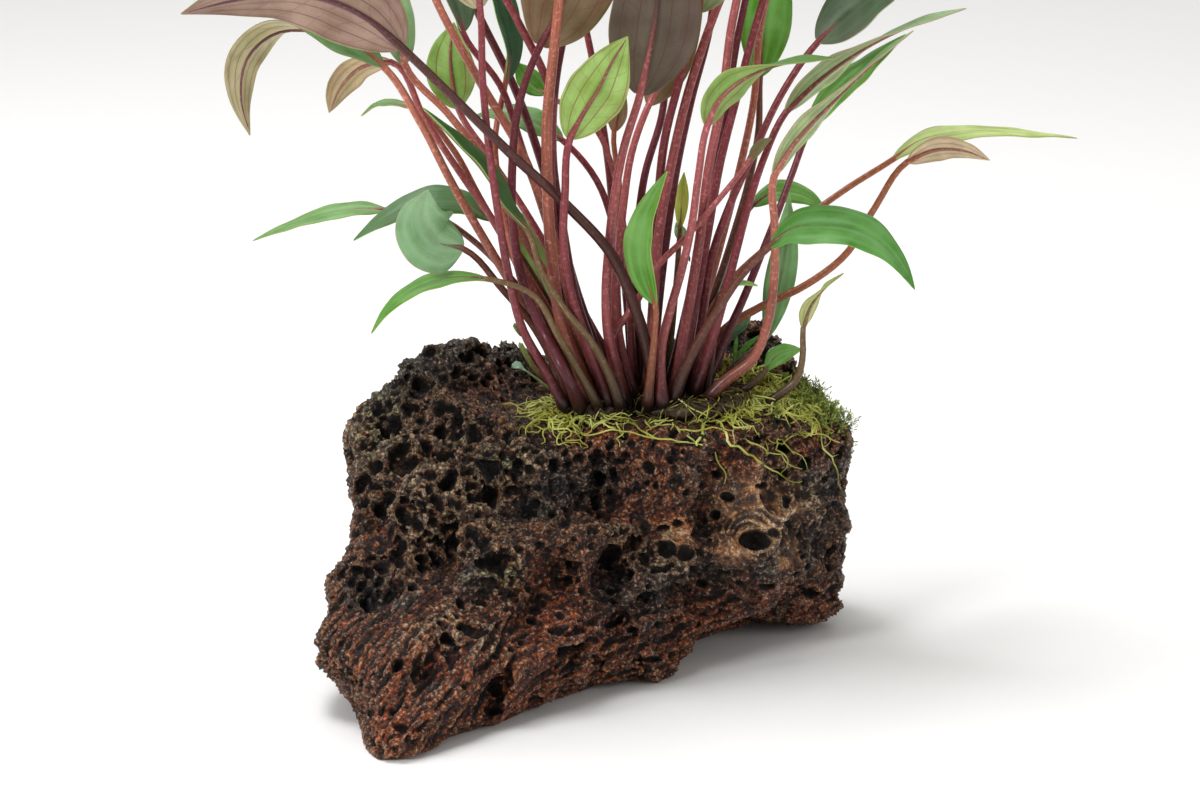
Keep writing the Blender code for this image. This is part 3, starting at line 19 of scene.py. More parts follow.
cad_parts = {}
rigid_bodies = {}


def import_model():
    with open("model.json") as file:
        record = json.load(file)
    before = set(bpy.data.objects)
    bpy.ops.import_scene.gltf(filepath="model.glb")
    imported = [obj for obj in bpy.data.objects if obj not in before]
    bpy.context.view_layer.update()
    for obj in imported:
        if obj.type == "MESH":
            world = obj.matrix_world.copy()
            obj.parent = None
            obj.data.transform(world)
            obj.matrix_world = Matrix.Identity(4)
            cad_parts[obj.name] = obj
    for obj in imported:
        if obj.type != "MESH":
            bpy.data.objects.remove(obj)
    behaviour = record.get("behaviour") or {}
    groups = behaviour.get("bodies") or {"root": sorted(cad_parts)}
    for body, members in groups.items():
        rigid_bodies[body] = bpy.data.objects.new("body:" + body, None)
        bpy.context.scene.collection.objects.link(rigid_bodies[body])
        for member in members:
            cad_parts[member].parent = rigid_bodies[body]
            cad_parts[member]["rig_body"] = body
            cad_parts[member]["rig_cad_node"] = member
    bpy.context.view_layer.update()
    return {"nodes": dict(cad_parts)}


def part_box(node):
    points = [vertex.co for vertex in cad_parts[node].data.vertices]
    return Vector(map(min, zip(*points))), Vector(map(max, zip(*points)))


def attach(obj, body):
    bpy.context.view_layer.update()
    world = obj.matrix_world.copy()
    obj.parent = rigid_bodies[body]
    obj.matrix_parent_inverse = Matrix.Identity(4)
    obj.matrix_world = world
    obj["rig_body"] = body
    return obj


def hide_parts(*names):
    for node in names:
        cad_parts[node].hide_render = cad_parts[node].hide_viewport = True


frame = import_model()
nodes = frame["nodes"]
MM = 0.001

# %% [markdown]
# ## Small helpers
# Paint charts give colours as hex codes, but Blender mixes linear values, so one function turns the first
# into the second. Another adds a shader node together with its settings and links, and gives back the
# output that the next node reads. Two more start a material on the Principled shader and feed its sockets.

# %% Colour and material helpers


def linear(hex_code):
    """sRGB hex to linear RGBA."""
    parts = [int(hex_code[i:i + 2], 16) / 255 for i in (1, 3, 5)]
    return (*[c / 12.92 if c <= 0.04045 else ((c + 0.055) / 1.055) ** 2.4 for c in parts], 1.0)


def add(tree, kind, inputs=None, out=0, stops=(), **settings):
    """Adds a shader node with its settings and links, and gives back one of its outputs.

    inputs maps socket names or numbers to values, or to the outputs that feed them. stops are the places on
    a colour ramp with the colours there, or with greys given as numbers.
    """
    node = tree.nodes.new("ShaderNode" + kind)
    for name, value in settings.items():
        setattr(node, name, value)
    for name, value in (inputs or {}).items():
        if isinstance(value, bpy.types.NodeSocket):
            tree.links.new(value, node.inputs[name])
        else:
            node.inputs[name].default_value = value
    for _ in stops[2:]:
        node.color_ramp.elements.new(1.0)
    for k, (place, tone) in enumerate(stops):
        element = node.color_ramp.elements[k]
        element.position = place
        element.color = linear(tone) if isinstance(tone, str) else (tone, tone, tone, 1.0)
    return node.outputs[out]


def new_material(name, **sockets):
    """A material with a Principled shader, whose constant values go on its own sockets."""
    material = bpy.data.materials.new(name)
    material.use_nodes = True
    shader = material.node_tree.nodes["Principled BSDF"]
    for socket, value in sockets.items():
        shader.inputs[socket.replace("_", " ")].default_value = value
    return material, material.node_tree, shader


def feed(shader, **outputs):
    """Links outputs to the shader's sockets, whose names are written with _ for a blank."""
    for socket, output in outputs.items():
        shader.id_data.links.new(output, shader.inputs[socket.replace("_", " ")])


print("mid grey #808080 is", round(linear("#808080")[0], 3), "linear")

# %% [markdown]
# An operator acts on everything that is selected, so each step selects its own object first. Vertices are
# read and written as rows of x, y and z, because a whole mesh is then moved in one sum.

# %% Selection and mesh helpers


def only(obj):
    """Selects one object and makes it the active one."""
    bpy.ops.object.select_all(action="DESELECT")
    obj.select_set(True)
    bpy.context.view_layer.objects.active = obj
    return obj


def apply_modifier(obj, kind, **settings):
    only(obj)
    modifier = obj.modifiers.new(kind, kind)
    for name, value in settings.items():
        setattr(modifier, name, value)
    bpy.ops.object.modifier_apply(modifier=modifier.name)


WELD = 0.01     # mm: corners of a solid's loose triangles that are closer than this are one


def merge_doubles(obj, reach, turn_out=False):
    """Merges vertices that are closer than reach in mm, and may turn all faces outwards."""
    only(obj)
    bpy.ops.object.mode_set(mode="EDIT")
    bpy.ops.mesh.select_all(action="SELECT")
    bpy.ops.mesh.remove_doubles(threshold=reach * MM)
    if turn_out:
        bpy.ops.mesh.normals_make_consistent(inside=False)
    bpy.ops.object.mode_set(mode="OBJECT")


def merged_copy(node, name):
    """A copy of a solid with its loose triangles joined, ready to be reshaped."""
    only(nodes[node])
    bpy.ops.object.duplicate()
    copy = bpy.context.active_object
    copy.name = name
    copy.parent = None
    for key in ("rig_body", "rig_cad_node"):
        del copy[key]
    copy.data.materials.clear()
    merge_doubles(copy, WELD)
    return copy


def rows_of(items, field):
    """Rows of three numbers of a mesh's vertices ("co") or vertex normals ("vector")."""
    values = np.zeros(len(items) * 3, np.float32)
    items.foreach_get(field, values)
    return values.reshape(-1, 3).astype(float)


def put_points(obj, rows):
    """Puts an object's vertices at places given in mm."""
    obj.data.vertices.foreach_set("co", (rows * MM).astype(np.float32).ravel())


def paint(mesh, name, rows):
    """Stores one colour per vertex as an attribute that the material reads."""
    layer = mesh.color_attributes.new(name, "FLOAT_COLOR", "POINT")
    layer.data.foreach_set("color", np.asarray(rows, np.float32).ravel())


def triangles(obj):
    return sum(len(p.vertices) - 2 for p in obj.data.polygons)


def unit_vector(v):
    return v / max(np.linalg.norm(v), 1e-9)


print("largest solid:", max(nodes, key=lambda n: triangles(nodes[n])))

# %% [markdown]
# ## Studio and camera
# The plant stood on a pale table, photographed from a little above with a long lens, in soft light from the
# upper left that leaves small wet glints on the stone. One large panel would light it evenly, but a soft
# panel above, one at the front left and a weak one at the right give it form. A wide one behind keeps the
# table white up to the top of the picture and shines through the leaves.

# %% Camera
VIEW_TILT = math.radians(15)        # the camera looks down by this much
VIEW_RANGE = 900.0                  # mm from the lens to the plant's crown
VIEW_AXIS_X = -12.5                 # mm from the crown to the line of sight
CROWN_REF = 64.0                    # mm, height of the crown
LENS = 108                          # mm on a 36 mm sensor, which gives 4 pixels to the millimetre
COS_T, SIN_T = math.cos(VIEW_TILT), math.sin(VIEW_TILT)


def to_world(right, up, away=0.0):
    """A place in millimetres, given as the viewer sees it: right and up in the crown's plane, and depth."""
    scale = (VIEW_RANGE + away) / VIEW_RANGE
    across = (right - VIEW_AXIS_X) * scale + VIEW_AXIS_X
    height = up * scale
    return np.array([across, away * COS_T + height * SIN_T, CROWN_REF + height * COS_T - away * SIN_T])


eye = np.array([VIEW_AXIS_X, -VIEW_RANGE * COS_T, CROWN_REF + VIEW_RANGE * SIN_T])
bpy.ops.object.camera_add(location=eye * MM, rotation=(math.pi / 2 - VIEW_TILT, 0, 0))
camera = bpy.context.active_object
camera.data.lens = LENS
camera.data.clip_end = 20
bpy.context.scene.camera = camera
print("camera", LENS, "mm, eye at", eye.round(), "mm")

# %% [markdown]
# A lamp is aimed by turning its -Z axis to a point. The floor is only the stage, so it is a plain plane in
# matt white laminate, which takes soft shadows and hardly mirrors the rock.

# %% Lights and floor
LIGHTS = [      # name, place, what it is aimed at, size in metres, power in watts
    ("overhead panel", (-0.25, 0.1, 1.1), (0.0, -0.02, 0.08), 0.5, 9.5),
    ("front left panel", (-0.9, -0.9, 0.8), (-0.02, 0.0, 0.08), 0.3, 9.0),
    ("right fill", (1.0, -0.5, 0.5), (0.0, 0.0, 0.08), 0.6, 2.2),
    ("background panel", (0.0, 1.5, 1.4), (0.0, 1.25, 0.0), 2.4, 15.0),
]
ROOM_TONE, ROOM_LIGHT = "#f8f5ef", 0.34         # light that the room's walls throw back
world = bpy.data.worlds.new("studio")
bpy.context.scene.world = world
world.use_nodes = True
room = world.node_tree.nodes["Background"]
room.inputs["Color"].default_value = linear(ROOM_TONE)
room.inputs["Strength"].default_value = ROOM_LIGHT
for name, place, aim, size, power in LIGHTS:
    bpy.ops.object.light_add(type="AREA", location=place)
    lamp = bpy.context.active_object
    lamp.name = name
    lamp.data.size = size
    lamp.data.energy = power
    lamp.rotation_mode = "QUATERNION"
    lamp.rotation_quaternion = (Vector(aim) - Vector(place)).to_track_quat("-Z", "Y")

bpy.ops.mesh.primitive_plane_add(size=6)
floor = bpy.context.active_object
floor.name = "floor"
table_top, tree, shader = new_material("matt white laminate", Roughness=0.8, Base_Color=linear("#f2f2f2"))
floor.data.materials.append(table_top)
bpy.context.scene.view_settings.view_transform = "Standard"
print("lights:", len(LIGHTS))

# %% [markdown]
# ## The rock
# Lava rock, or scoria, is basalt froth: gas bubbles froze in it as round pits of every size, and the skin
# between them tore into crusts and ropes. The solid has its outline, hollows and crevice. A voxel remesh
# gives it an even, fine mesh, a smooth modifier takes the facets out, and then the pits are pressed in one
# by one, because no texture gives pits with real depth, dark floors and thin walls between neighbours.

# %% The rock's mesh
ROCK_VOXEL = 0.52       # mm
ROCK_FACES = 193000     # triangles that are kept, most of them where the surface is rough
rock = merged_copy("lava_rock", "rock")
apply_modifier(rock, "REMESH", mode="VOXEL", voxel_size=ROCK_VOXEL * MM)
apply_modifier(rock, "SMOOTH", factor=0.5, iterations=14)
print("rock:", len(rock.data.vertices), "vertices after the remesh")

# %% [markdown]
# Frozen lava isn't the same all over. The upper left is a net of thin walls between large bubbles, the
# lower front is drawn out in ropes, a smooth glassy skin flowed round one wide mouth on the right, and the
# rest is crust. Each of these is a share from 0 to 1 at every vertex, laid down from listed places.
# A ray from the eye finds the stone behind each place.

# %% Zones on the rock
surface = rows_of(rock.data.vertices, "co") / MM
normals = rows_of(rock.data.vertex_normals, "vector")
count = len(surface)
faces_tree = BVHTree.FromObject(rock, bpy.context.evaluated_depsgraph_get())


def seen_on(tree, right, up):
    """The place in mm where the line of sight through (right, up) meets a surface, and the normal there."""
    aim = to_world(right, up) - eye
    hit = tree.ray_cast(Vector(eye * MM), Vector(aim).normalized())
    if hit[0] is None:
        return None, None
    return np.array(hit[0]) / MM, np.array(hit[1])


def to_view(p):
    """Turns x, y, z rows into (right, up) rows as the viewer sees them."""
    away = p[:, 1] * COS_T - (p[:, 2] - CROWN_REF) * SIN_T
    up = p[:, 1] * SIN_T + (p[:, 2] - CROWN_REF) * COS_T
    scale = (VIEW_RANGE + away) / VIEW_RANGE
    return (p[:, 0] - VIEW_AXIS_X) / scale + VIEW_AXIS_X, up / scale


def zone(spots):
    """Share of each vertex in a zone, given as places (right, up) and how far each reaches, in mm."""
    share = np.zeros(count)
    for right, up, size in spots:
        middle, _ = seen_on(faces_tree, right, up)
        if middle is not None:
            share = np.maximum(share, np.exp(-(np.linalg.norm(surface - middle, axis=1) / size) ** 2))
    return share


NET = [(-63, -8, 11), (-55, -14, 11), (-64, -24, 11), (-48, -10, 9), (-44, -20, 9), (-55, -32, 10),
       (-68, -40, 9), (-40, -34, 8), (-36, -12, 6), (-56, 4, 7)]
GLASSY = [(24, -26, 9), (32, -30, 9), (22, -36, 6), (33, -38, 6), (6, -34, 3.5)]
BACK_STARTS, BACK_FADE = 5, 25      # mm: how far back the unseen side starts, and over how much it fades in
ROPES_TOP, ROPES_FADE = 27, 12      # mm: where the ropes end in the middle, and over how much they fade out
behind = np.clip((surface[:, 1] - BACK_STARTS) / BACK_FADE, 0, 1)
lump = np.array([noise.noise(Vector(p) * 0.11) for p in surface])
ropy = np.clip((ROPES_TOP - 0.15 * surface[:, 0] - surface[:, 2]) / ROPES_FADE, 0, 1)
glassy = np.clip(zone(GLASSY) * 1.3, 0, 1)
net = np.maximum(zone(NET), behind * np.clip(0.3 + lump * 2.5, 0, 1))
print("shares net, glassy and ropy:", [round(float(x.mean()), 2) for x in (net, glassy, ropy)])

# %% [markdown]
# The largest pits are listed one by one, each with its place as the viewer sees it, its half width, half
# height and depth. A pit is a bowl pressed along the stone's normal, with a low lip round it.

# %% Pits from a list
SEEN_PITS = [   # right, up, half width, half height, depth, all in mm
    (-62, -15, 4.0, 3.8, 3.0), (-51.7, -12.9, 2.8, 2.0, 2.2), (-42, -16.3, 3.6, 1.9, 2.4),
    (-43.8, -8.8, 2.6, 2.3, 2.4), (-35.4, -9.2, 1.5, 1.4, 2.8), (-68.8, -21.7, 1.8, 1.2, 2.4),
    (-61.7, -27.5, 2.0, 3.8, 2.4), (-68, -34, 4.2, 5.8, 1.6), (-49.6, -25.4, 3.3, 1.2, 1.8),
    (-32.9, -16.3, 1.7, 1.7, 2.8), (-13.3, -19.8, 2.5, 2.3, 3.0), (-7.9, -15.4, 2.0, 0.9, 2),
    (-0.8, -20.7, 0.9, 0.9, 1.6), (-3.7, -20.8, 0.9, 0.8, 1.5), (1.3, -21.5, 0.9, 0.8, 1.6),
    (26.7, -9.6, 1.7, 1.3, 2.6), (15.8, -13, 1.3, 1.2, 2.2), (16.7, -18.8, 1.3, 1.2, 2.4),
    (38.8, -15.4, 1.3, 1.2, 2), (28, -21.5, 1.7, 0.8, 1.8), (32.5, -18, 2.4, 0.9, 2),
    (-14.2, -32.3, 1.8, 1.2, 2.4), (-42.1, -35, 1.9, 1.9, 2.4), (-48.3, -37, 1.1, 1.1, 1.8),
    (-21.3, -30.4, 2.2, 2.0, 1.4), (6.7, -31, 1.5, 1.2, 2.8), (3.3, -32, 1.7, 1.1, 2.8),
    (16.3, -28.8, 1.4, 1.4, 2.6), (-10, -38.3, 3.2, 2.6, 1.6), (4.0, -37.4, 2.4, 2.3, 2.4),
    (8.6, -38.2, 2.8, 2.2, 1.7), (-38.3, -40.8, 5.2, 3.0, 2.2), (-72, -46.4, 1.9, 1.8, 2),
    (-71.3, -50.8, 1.4, 1.4, 2.2), (-59.6, -46.2, 0.9, 0.8, 1.4), (29.2, -47, 2.4, 1.1, 1.6),
    (39.6, -48, 3.0, 1.3, 1.6), (45, -42, 1.1, 1.1, 1.8), (-14.6, -60.4, 1.7, 1.3, 2.4),
    (0, -65, 3.0, 1.1, 2.6), (-62.5, -81.7, 2.2, 1.1, 1.4), (-38.8, -77.5, 2.4, 1.1, 1.4),
    (-55.8, -68.3, 4.4, 5.0, 1.4), (-57, 4, 3.2, 2.4, 2.5), (-48, 3.5, 2.8, 2.0, 2.4),
    (-20.8, -57.5, 5.0, 1.6, 1.6), (-44, -57.5, 4.2, 1.5, 1.4), (-29, -26, 1.5, 1.4, 2.2),
    (-55, -22, 1.4, 1.2, 2.0), (-67, -6.5, 1.8, 1.5, 2.4), (-57.5, -5, 1.5, 1.4, 2.2),
    (-50, -2, 1.7, 1.3, 2.2), (-30, -2, 1.6, 1.3, 2.0), (-25, -6.5, 1.4, 1.1, 2.0),
    (13, -46, 1.6, 1.2, 2.0),
]
OVAL_PIT = (26.5, -34.8, 4.4, 2.8, 5.0)         # the wide mouth on the right, with flow rings round it
PIT_LIP = 0.2           # height of the raised lip, as a share of the pit's radius
PIT_REACH = 14.0        # a pit's mouth doesn't reach further from its middle than this, in mm
PIT_RIM = 1.5           # how far out a pit changes the stone, counted in its radii

seen_right, seen_up = to_view(surface)
facing = normals @ unit_vector(eye - np.array([0, 0, 30]))      # over 0 where the stone faces the viewer
shelf = (np.abs(surface[:, 0] + 1) < 27) & (np.abs(surface[:, 1]) < 17.5) & (surface[:, 2] > 58)
calm = np.clip(surface[:, 2] / 2.0, 0, 1) * np.where(shelf, 0.3, 1)     # the base and the shelf stay level
sunk = np.zeros(count)
move = np.zeros((count, 3))


def press(rows, far, normal, size, depth):
    """Presses a bowl with a lip into the vertices in rows. Where bowls overlap, the deepest counts."""
    bowl = np.sqrt(np.clip(1 - far ** 2, 0, 1)) * depth * calm[rows]
    extra = np.clip(bowl - sunk[rows], 0, None)
    lip = np.exp(-((far - 1.1) / 0.14) ** 2) * PIT_LIP * size * calm[rows] * (sunk[rows] < 0.1)
    move[rows] += normal * (lip - extra)[:, None]
    sunk[rows] = np.maximum(sunk[rows], bowl)


for right, up, wide, high, depth in SEEN_PITS + [OVAL_PIT]:
    centre, normal = seen_on(faces_tree, right, up)
    if centre is None:
        continue
    rows = np.nonzero((np.linalg.norm(surface - centre, axis=1) < PIT_REACH) & (facing > -0.1))[0]
    far = np.hypot((seen_right[rows] - right) / wide, (seen_up[rows] - up) / high)
    press(rows[far < PIT_RIM], far[far < PIT_RIM], normal, min(wide, high), depth)
print("pits placed by eye:", len(SEEN_PITS) + 1)

# %% [markdown]
# Thousands of smaller pits are scattered over all sides from one seed, with many small ones to each large
# one, as bubbles are, and more of them where the stone is a net.

# %% Scattered pits
RANDOM_PITS = 17000
PIT_SMALLEST, PIT_LARGEST = 0.55, 2.7       # mm, radius
BASE_CLEAR = 1.5                            # mm over the base that keep no pits
rng = np.random.default_rng(7)
finder = KDTree(count)
for k in range(count):
    finder.insert(surface[k], k)
finder.balance()

made = 0
sizes = PIT_SMALLEST * (PIT_LARGEST / PIT_SMALLEST) ** (rng.random(RANDOM_PITS) ** 3.0)
for k, size, chance, turn in zip(rng.choice(count, RANDOM_PITS), sizes, rng.random(RANDOM_PITS),
                                 rng.normal(size=(RANDOM_PITS, 3))):
    centre, normal = surface[k], normals[k]
    porous = (0.3 + 0.7 * net[k]) * (1 - 0.9 * glassy[k]) * (1 - 0.75 * ropy[k])
    size *= 0.6 + 0.4 * net[k]
    if chance > porous or centre[2] < BASE_CLEAR or size < (0):
        continue
    found = np.array([f[1] for f in finder.find_range(centre, size * 1.8)])
    across = turn - normal * (turn @ normal)
    across /= np.linalg.norm(across)
    off = surface[found] - centre
    oval = 1 + 0.6 * chance / porous
    along = off @ np.cross(normal, across)
    far = np.sqrt((off @ across / oval) ** 2 + along ** 2 + (off @ normal * 0.5) ** 2) / size
    inside = (normals[found] @ normal > 0.2) & (far < PIT_RIM)
    press(found[inside], far[inside], normal, size, size * (1.1 + 0.9 * chance / porous))
    made += 1
print("scattered pits:", made)

# %% [markdown]
# Over the pits lie four layers of relief: broad lumps, crusty ridges, ropes and fine grit. The ropes are
# noise that is drawn out along the old flow, which ran down steeply on the left and slantwise on the right.
# A displacement map would do it too, but each layer has its own zone here, and each vertex moves along its
# normal, so the walls stay closed.

# %% Relief
STEEP_FLOW = unit_vector(np.array([0.62, 0.70, 0.62]))
SLANT_FLOW = unit_vector(np.array([0.89, 0.79, 0.25]))
DRAWN_OUT = 0.78        # share of the length along the flow that is taken out before the noise is read
LUMPS, CRUSTS, ROPES, GRIT = 0.6, 1.5, 3.0, 0.5     # mm of relief to one unit of each noise
GLASS_COVER = 0.8       # share of the crust and grit that the glassy skin covers
slanting = np.clip((seen_right + 46) / 24, 0, 1)
steep = surface - np.outer(surface @ STEEP_FLOW, STEEP_FLOW) * DRAWN_OUT
slant = surface - np.outer(surface @ SLANT_FLOW, SLANT_FLOW) * DRAWN_OUT


def ridges(p):
    return abs(noise.noise(p * 0.42 + Vector((2, 7, 3)))) + 0.5 * abs(noise.noise(p * 0.95))


crust, rope, grit = (np.zeros(count) for _ in range(3))
for k in range(count):
    p, side = Vector(surface[k]), slanting[k]
    crust[k] = abs(noise.noise(p * 0.26 + Vector((5, 1, 2)))) + 0.55 * abs(noise.noise(p * 0.62))
    rope[k] = (1 - side) * ridges(Vector(steep[k])) + side * ridges(Vector(slant[k]))
    grit[k] = noise.noise(p * 0.9) + 0.8 * noise.noise(p * 1.7)
bare = 1 - GLASS_COVER * glassy
relief = (LUMPS * lump + (1 - ropy) * (0.45 - CRUSTS * crust) * bare + ropy * (0.9 - ROPES * rope)
          + GRIT * grit * bare)
move += normals * (np.where(shelf, np.minimum(relief, 0), relief) * calm)[:, None]
print("relief from", round(float(relief.min()), 1), "to", round(float(relief.max()), 1), "mm")

# %% [markdown]
# The glassy skin flowed round the oval mouth and set in rings, as a stream does round a stone. They are
# waves in the distance from the mouth, broken up by noise, and fade out with it.

# %% Flow rings
OVAL_RINGS = 4
RINGS_REACH = 2.9       # how far the rings reach, counted in half widths of the mouth
RING_HEIGHT = 0.7       # mm
centre, normal = seen_on(faces_tree, *OVAL_PIT[:2])
far = np.hypot((seen_right - OVAL_PIT[0]) / OVAL_PIT[2], (seen_up - OVAL_PIT[1]) / OVAL_PIT[3])
noise_along = np.array([noise.noise(Vector(p) * 0.2 + Vector((8, 1, 5))) for p in surface])
ringed = (far > 1.0) & (far < RINGS_REACH) & (np.linalg.norm(surface - centre, axis=1) < 20)
out = np.clip((far - 1.0) / (RINGS_REACH - 1), 0, 1)
rings = 1 - 2 * np.abs(np.sin(out ** 0.8 * OVAL_RINGS * math.pi + lump * 6 + crust)) ** 0.7
uneven = np.clip(0.55 + 1.5 * noise_along, 0.1, 1)
move += normals * (ringed * rings * (1 - out) ** 0.4 * RING_HEIGHT * uneven)[:, None]
put_points(rock, surface + move)
rock.data.update()
print("deepest place", round(float(-(move * normals).sum(1).min()), 1), "mm")

# %% [markdown]
# The stone's colours come from what happened to it: iron oxide turned the torn lower crusts red and orange,
# fresh glassy skin is blue-grey, and dried minerals whiten the ridges at the upper left. Their shares are
# stored on the vertices, in one attribute with four channels, and the material mixes the colours. The
# fourth channel says how deep a place lies below the averaged surface round it: the material paints shade
# into the hollows, and lightens the ridges, partly as worn crust and partly as painted highlight. A second
# attribute carries the glassy skin, the two flows and the green film at the upper left.

# %% The rock's colour zones
WARM = [(-68, -34, 8), (-62, -56, 14), (-52, -66, 20), (-30, -70, 20), (-10, -62, 16), (5, -30, 6),
        (20, -14, 9), (30, -50, 10), (12, -54, 9), (-45, 4, 5), (-62, -78, 14), (-22, -55, 14), (2, -10, 9),
        (-12, -9, 8), (-28, -46, 7), (-8, -28, 7), (40, -54, 8), (-38, 6, 6), (-66, -32, 5), (42, -10, 8)]
SLATE = [(-24, -22, 8), (-14, -20, 8), (-28, -28, 7), (-60, 10, 9), (-48, 13, 10), (-36, 13, 9),
         (-24, 13, 8), (2, -48, 8), (30, -42, 8), (40, -38, 7), (-70, -48, 7), (-62, -50, 6), (16, -42, 7),
         (-66, 2, 5), (-8, -48, 7), (46, -20, 7), (40, -20, 5), (-45, -44, 6), (20, -22, 5)]
PALE = [(-70, -6, 8), (-65, -12, 9), (-55, -20, 9), (-48, -12, 8), (-58, -32, 9), (-44, -24, 9),
        (-36, -16, 7), (32, -28, 9), (42, -26, 7), (-8, -34, 5), (-50, -56, 7), (3, -40, 6), (-38, -44, 7),
        (-58, -58, 6), (-30, -12, 6), (-40, -60, 6)]
MOSSY_FILM = [(-68, 0, 9), (-62, 4, 8), (-70, -10, 7), (-38, -14, 5), (-36, -42, 5), (3, -28, 5), (-52, 6, 6)]


def averaged(mesh, points, turns):
    """Points moved towards their neighbours a number of times."""
    ends = np.zeros(len(mesh.edges) * 2, np.int32)
    mesh.edges.foreach_get("vertices", ends)
    a, b = ends.reshape(-1, 2).T
    share = np.bincount(a, minlength=len(points)) + np.bincount(b, minlength=len(points))
    for _ in range(turns):
        near = [np.bincount(a, c[b], len(points)) + np.bincount(b, c[a], len(points)) for c in points.T]
        points = 0.4 * points + 0.6 * np.stack(near, 1) / share[:, None]
    return points


AVERAGED_TURNS = 22     # rounds of averaging: the surface that hollows and ridges are counted from
moved = surface + move
below = ((averaged(rock.data, moved, AVERAGED_TURNS) - moved) * normals).sum(1)
warm, slate, pale = zone(WARM), zone(SLATE), zone(PALE)
warm = np.maximum(warm, 0.8 * np.clip(lump * 2 + 0.1, 0, 1) * np.maximum(ropy, behind * 0.7))
slate = np.maximum(slate, behind * np.clip(-lump * 2.4, 0, 0.9))
pale = np.maximum(pale, behind * np.clip(crust - 0.1, 0, 0.5))
hollow = np.clip(0.5 + below * 0.55, 0, 1)
film = np.maximum(zone(MOSSY_FILM), behind * np.clip(lump * 2 - 0.4, 0, 0.7))
paint(rock.data, "rock_mix", np.stack([warm, slate, pale, hollow], 1))
paint(rock.data, "rock_skin", np.stack([glassy, ropy * (1 - slanting), ropy * slanting, film], 1))
apply_modifier(rock, "DECIMATE", ratio=min(1, ROCK_FACES / (2 * len(rock.data.polygons))))
only(rock)
bpy.ops.object.shade_smooth()
print("rock:", triangles(rock), "triangles")

# %% [markdown]
# ### Wet basalt scoria
# Basalt is dark and dull, but this piece has just left the water. A thin film fills its grain, so the brown
# is deep and every crust carries a small bright glint. That is a rough stone under a smooth clear coat. One
# noise would do for a distant stone. Here patches, clots, grit, crystals and bubbles each have their own
# size, and the grain is drawn out into fibres where the lava was ropy.

# %% Rock material: grain
PATCHES, CLOTS, GRAINS = 90, 360, 1150      # per metre: patches of 11 mm, clots of 3 mm, grit of 0.9 mm
CRYSTALS, BUBBLES = 900, 560                # per metre: crystals of 1.1 mm and bubbles of 1.8 mm
FIBRES = 620                                # per metre: fibres 1.6 mm wide
FIBRE_DRAW = -0.86                          # share of the way along the flow that is taken out of the place
GLINTS = 1500                               # per metre: painted glints of 0.7 mm; the glints of real crystal faces are too fine to show
scoria, tree, shader = new_material("wet basalt scoria", Roughness=0.6, IOR=1.4, Coat_Weight=0.55,
                                    Coat_Roughness=0.1)
where = add(tree, "TexCoord", out="Object")
zones = add(tree, "Attribute", attribute_name="rock_mix")
deep = zones.node.outputs["Alpha"]
rusty, slaty, pallid = add(tree, "SeparateColor", {0: zones}).node.outputs[:3]
skins = add(tree, "Attribute", attribute_name="rock_skin")
filmed = skins.node.outputs["Alpha"]
glass, steep_share, slant_share = add(tree, "SeparateColor", {0: skins}).node.outputs[:3]
broad, medium, fine, glint = (
    add(tree, "TexNoise", {"Vector": where, "Scale": scale, "Detail": detail, "Roughness": rough})
    for scale, detail, rough in ((PATCHES, 5, 0.5), (CLOTS, 6, 0.7), (GRAINS, 4, 0.75), (GLINTS, 2, 0.5)))
cells, bubbles = (add(tree, "TexVoronoi", {"Vector": where, "Scale": scale}) for scale in (CRYSTALS, BUBBLES))
mottle = add(tree, "Mix", {0: 0.45, 2: fine, 3: medium}, data_type="FLOAT")
for flow, share in ((STEEP_FLOW, steep_share), (SLANT_FLOW, slant_share)):
    along = add(tree, "VectorMath", {0: where, 1: tuple(flow)}, out="Value", operation="DOT_PRODUCT")
    back = add(tree, "Math", {0: along, 1: FIBRE_DRAW}, operation="MULTIPLY")
    shift = add(tree, "VectorMath", {0: tuple(flow), "Scale": back}, operation="SCALE")
    drawn = add(tree, "VectorMath", {0: where, 1: shift}, operation="ADD")
    fibres = add(tree, "TexNoise", {"Vector": drawn, "Scale": FIBRES, "Detail": 5, "Roughness": 0.7})
    fibrous = add(tree, "Mix", {0: 0.65, 2: fine, 3: fibres}, data_type="FLOAT")
    mottle = add(tree, "Mix", {0: share, 2: mottle, 3: fibrous}, data_type="FLOAT")
print("scoria patterns:", len(tree.nodes), "nodes")

# %% [markdown]
# Each tone of the stone runs from dark to light along one pattern, and each mask says where something
# shows. They all are colour ramps, so one table and one loop make them.

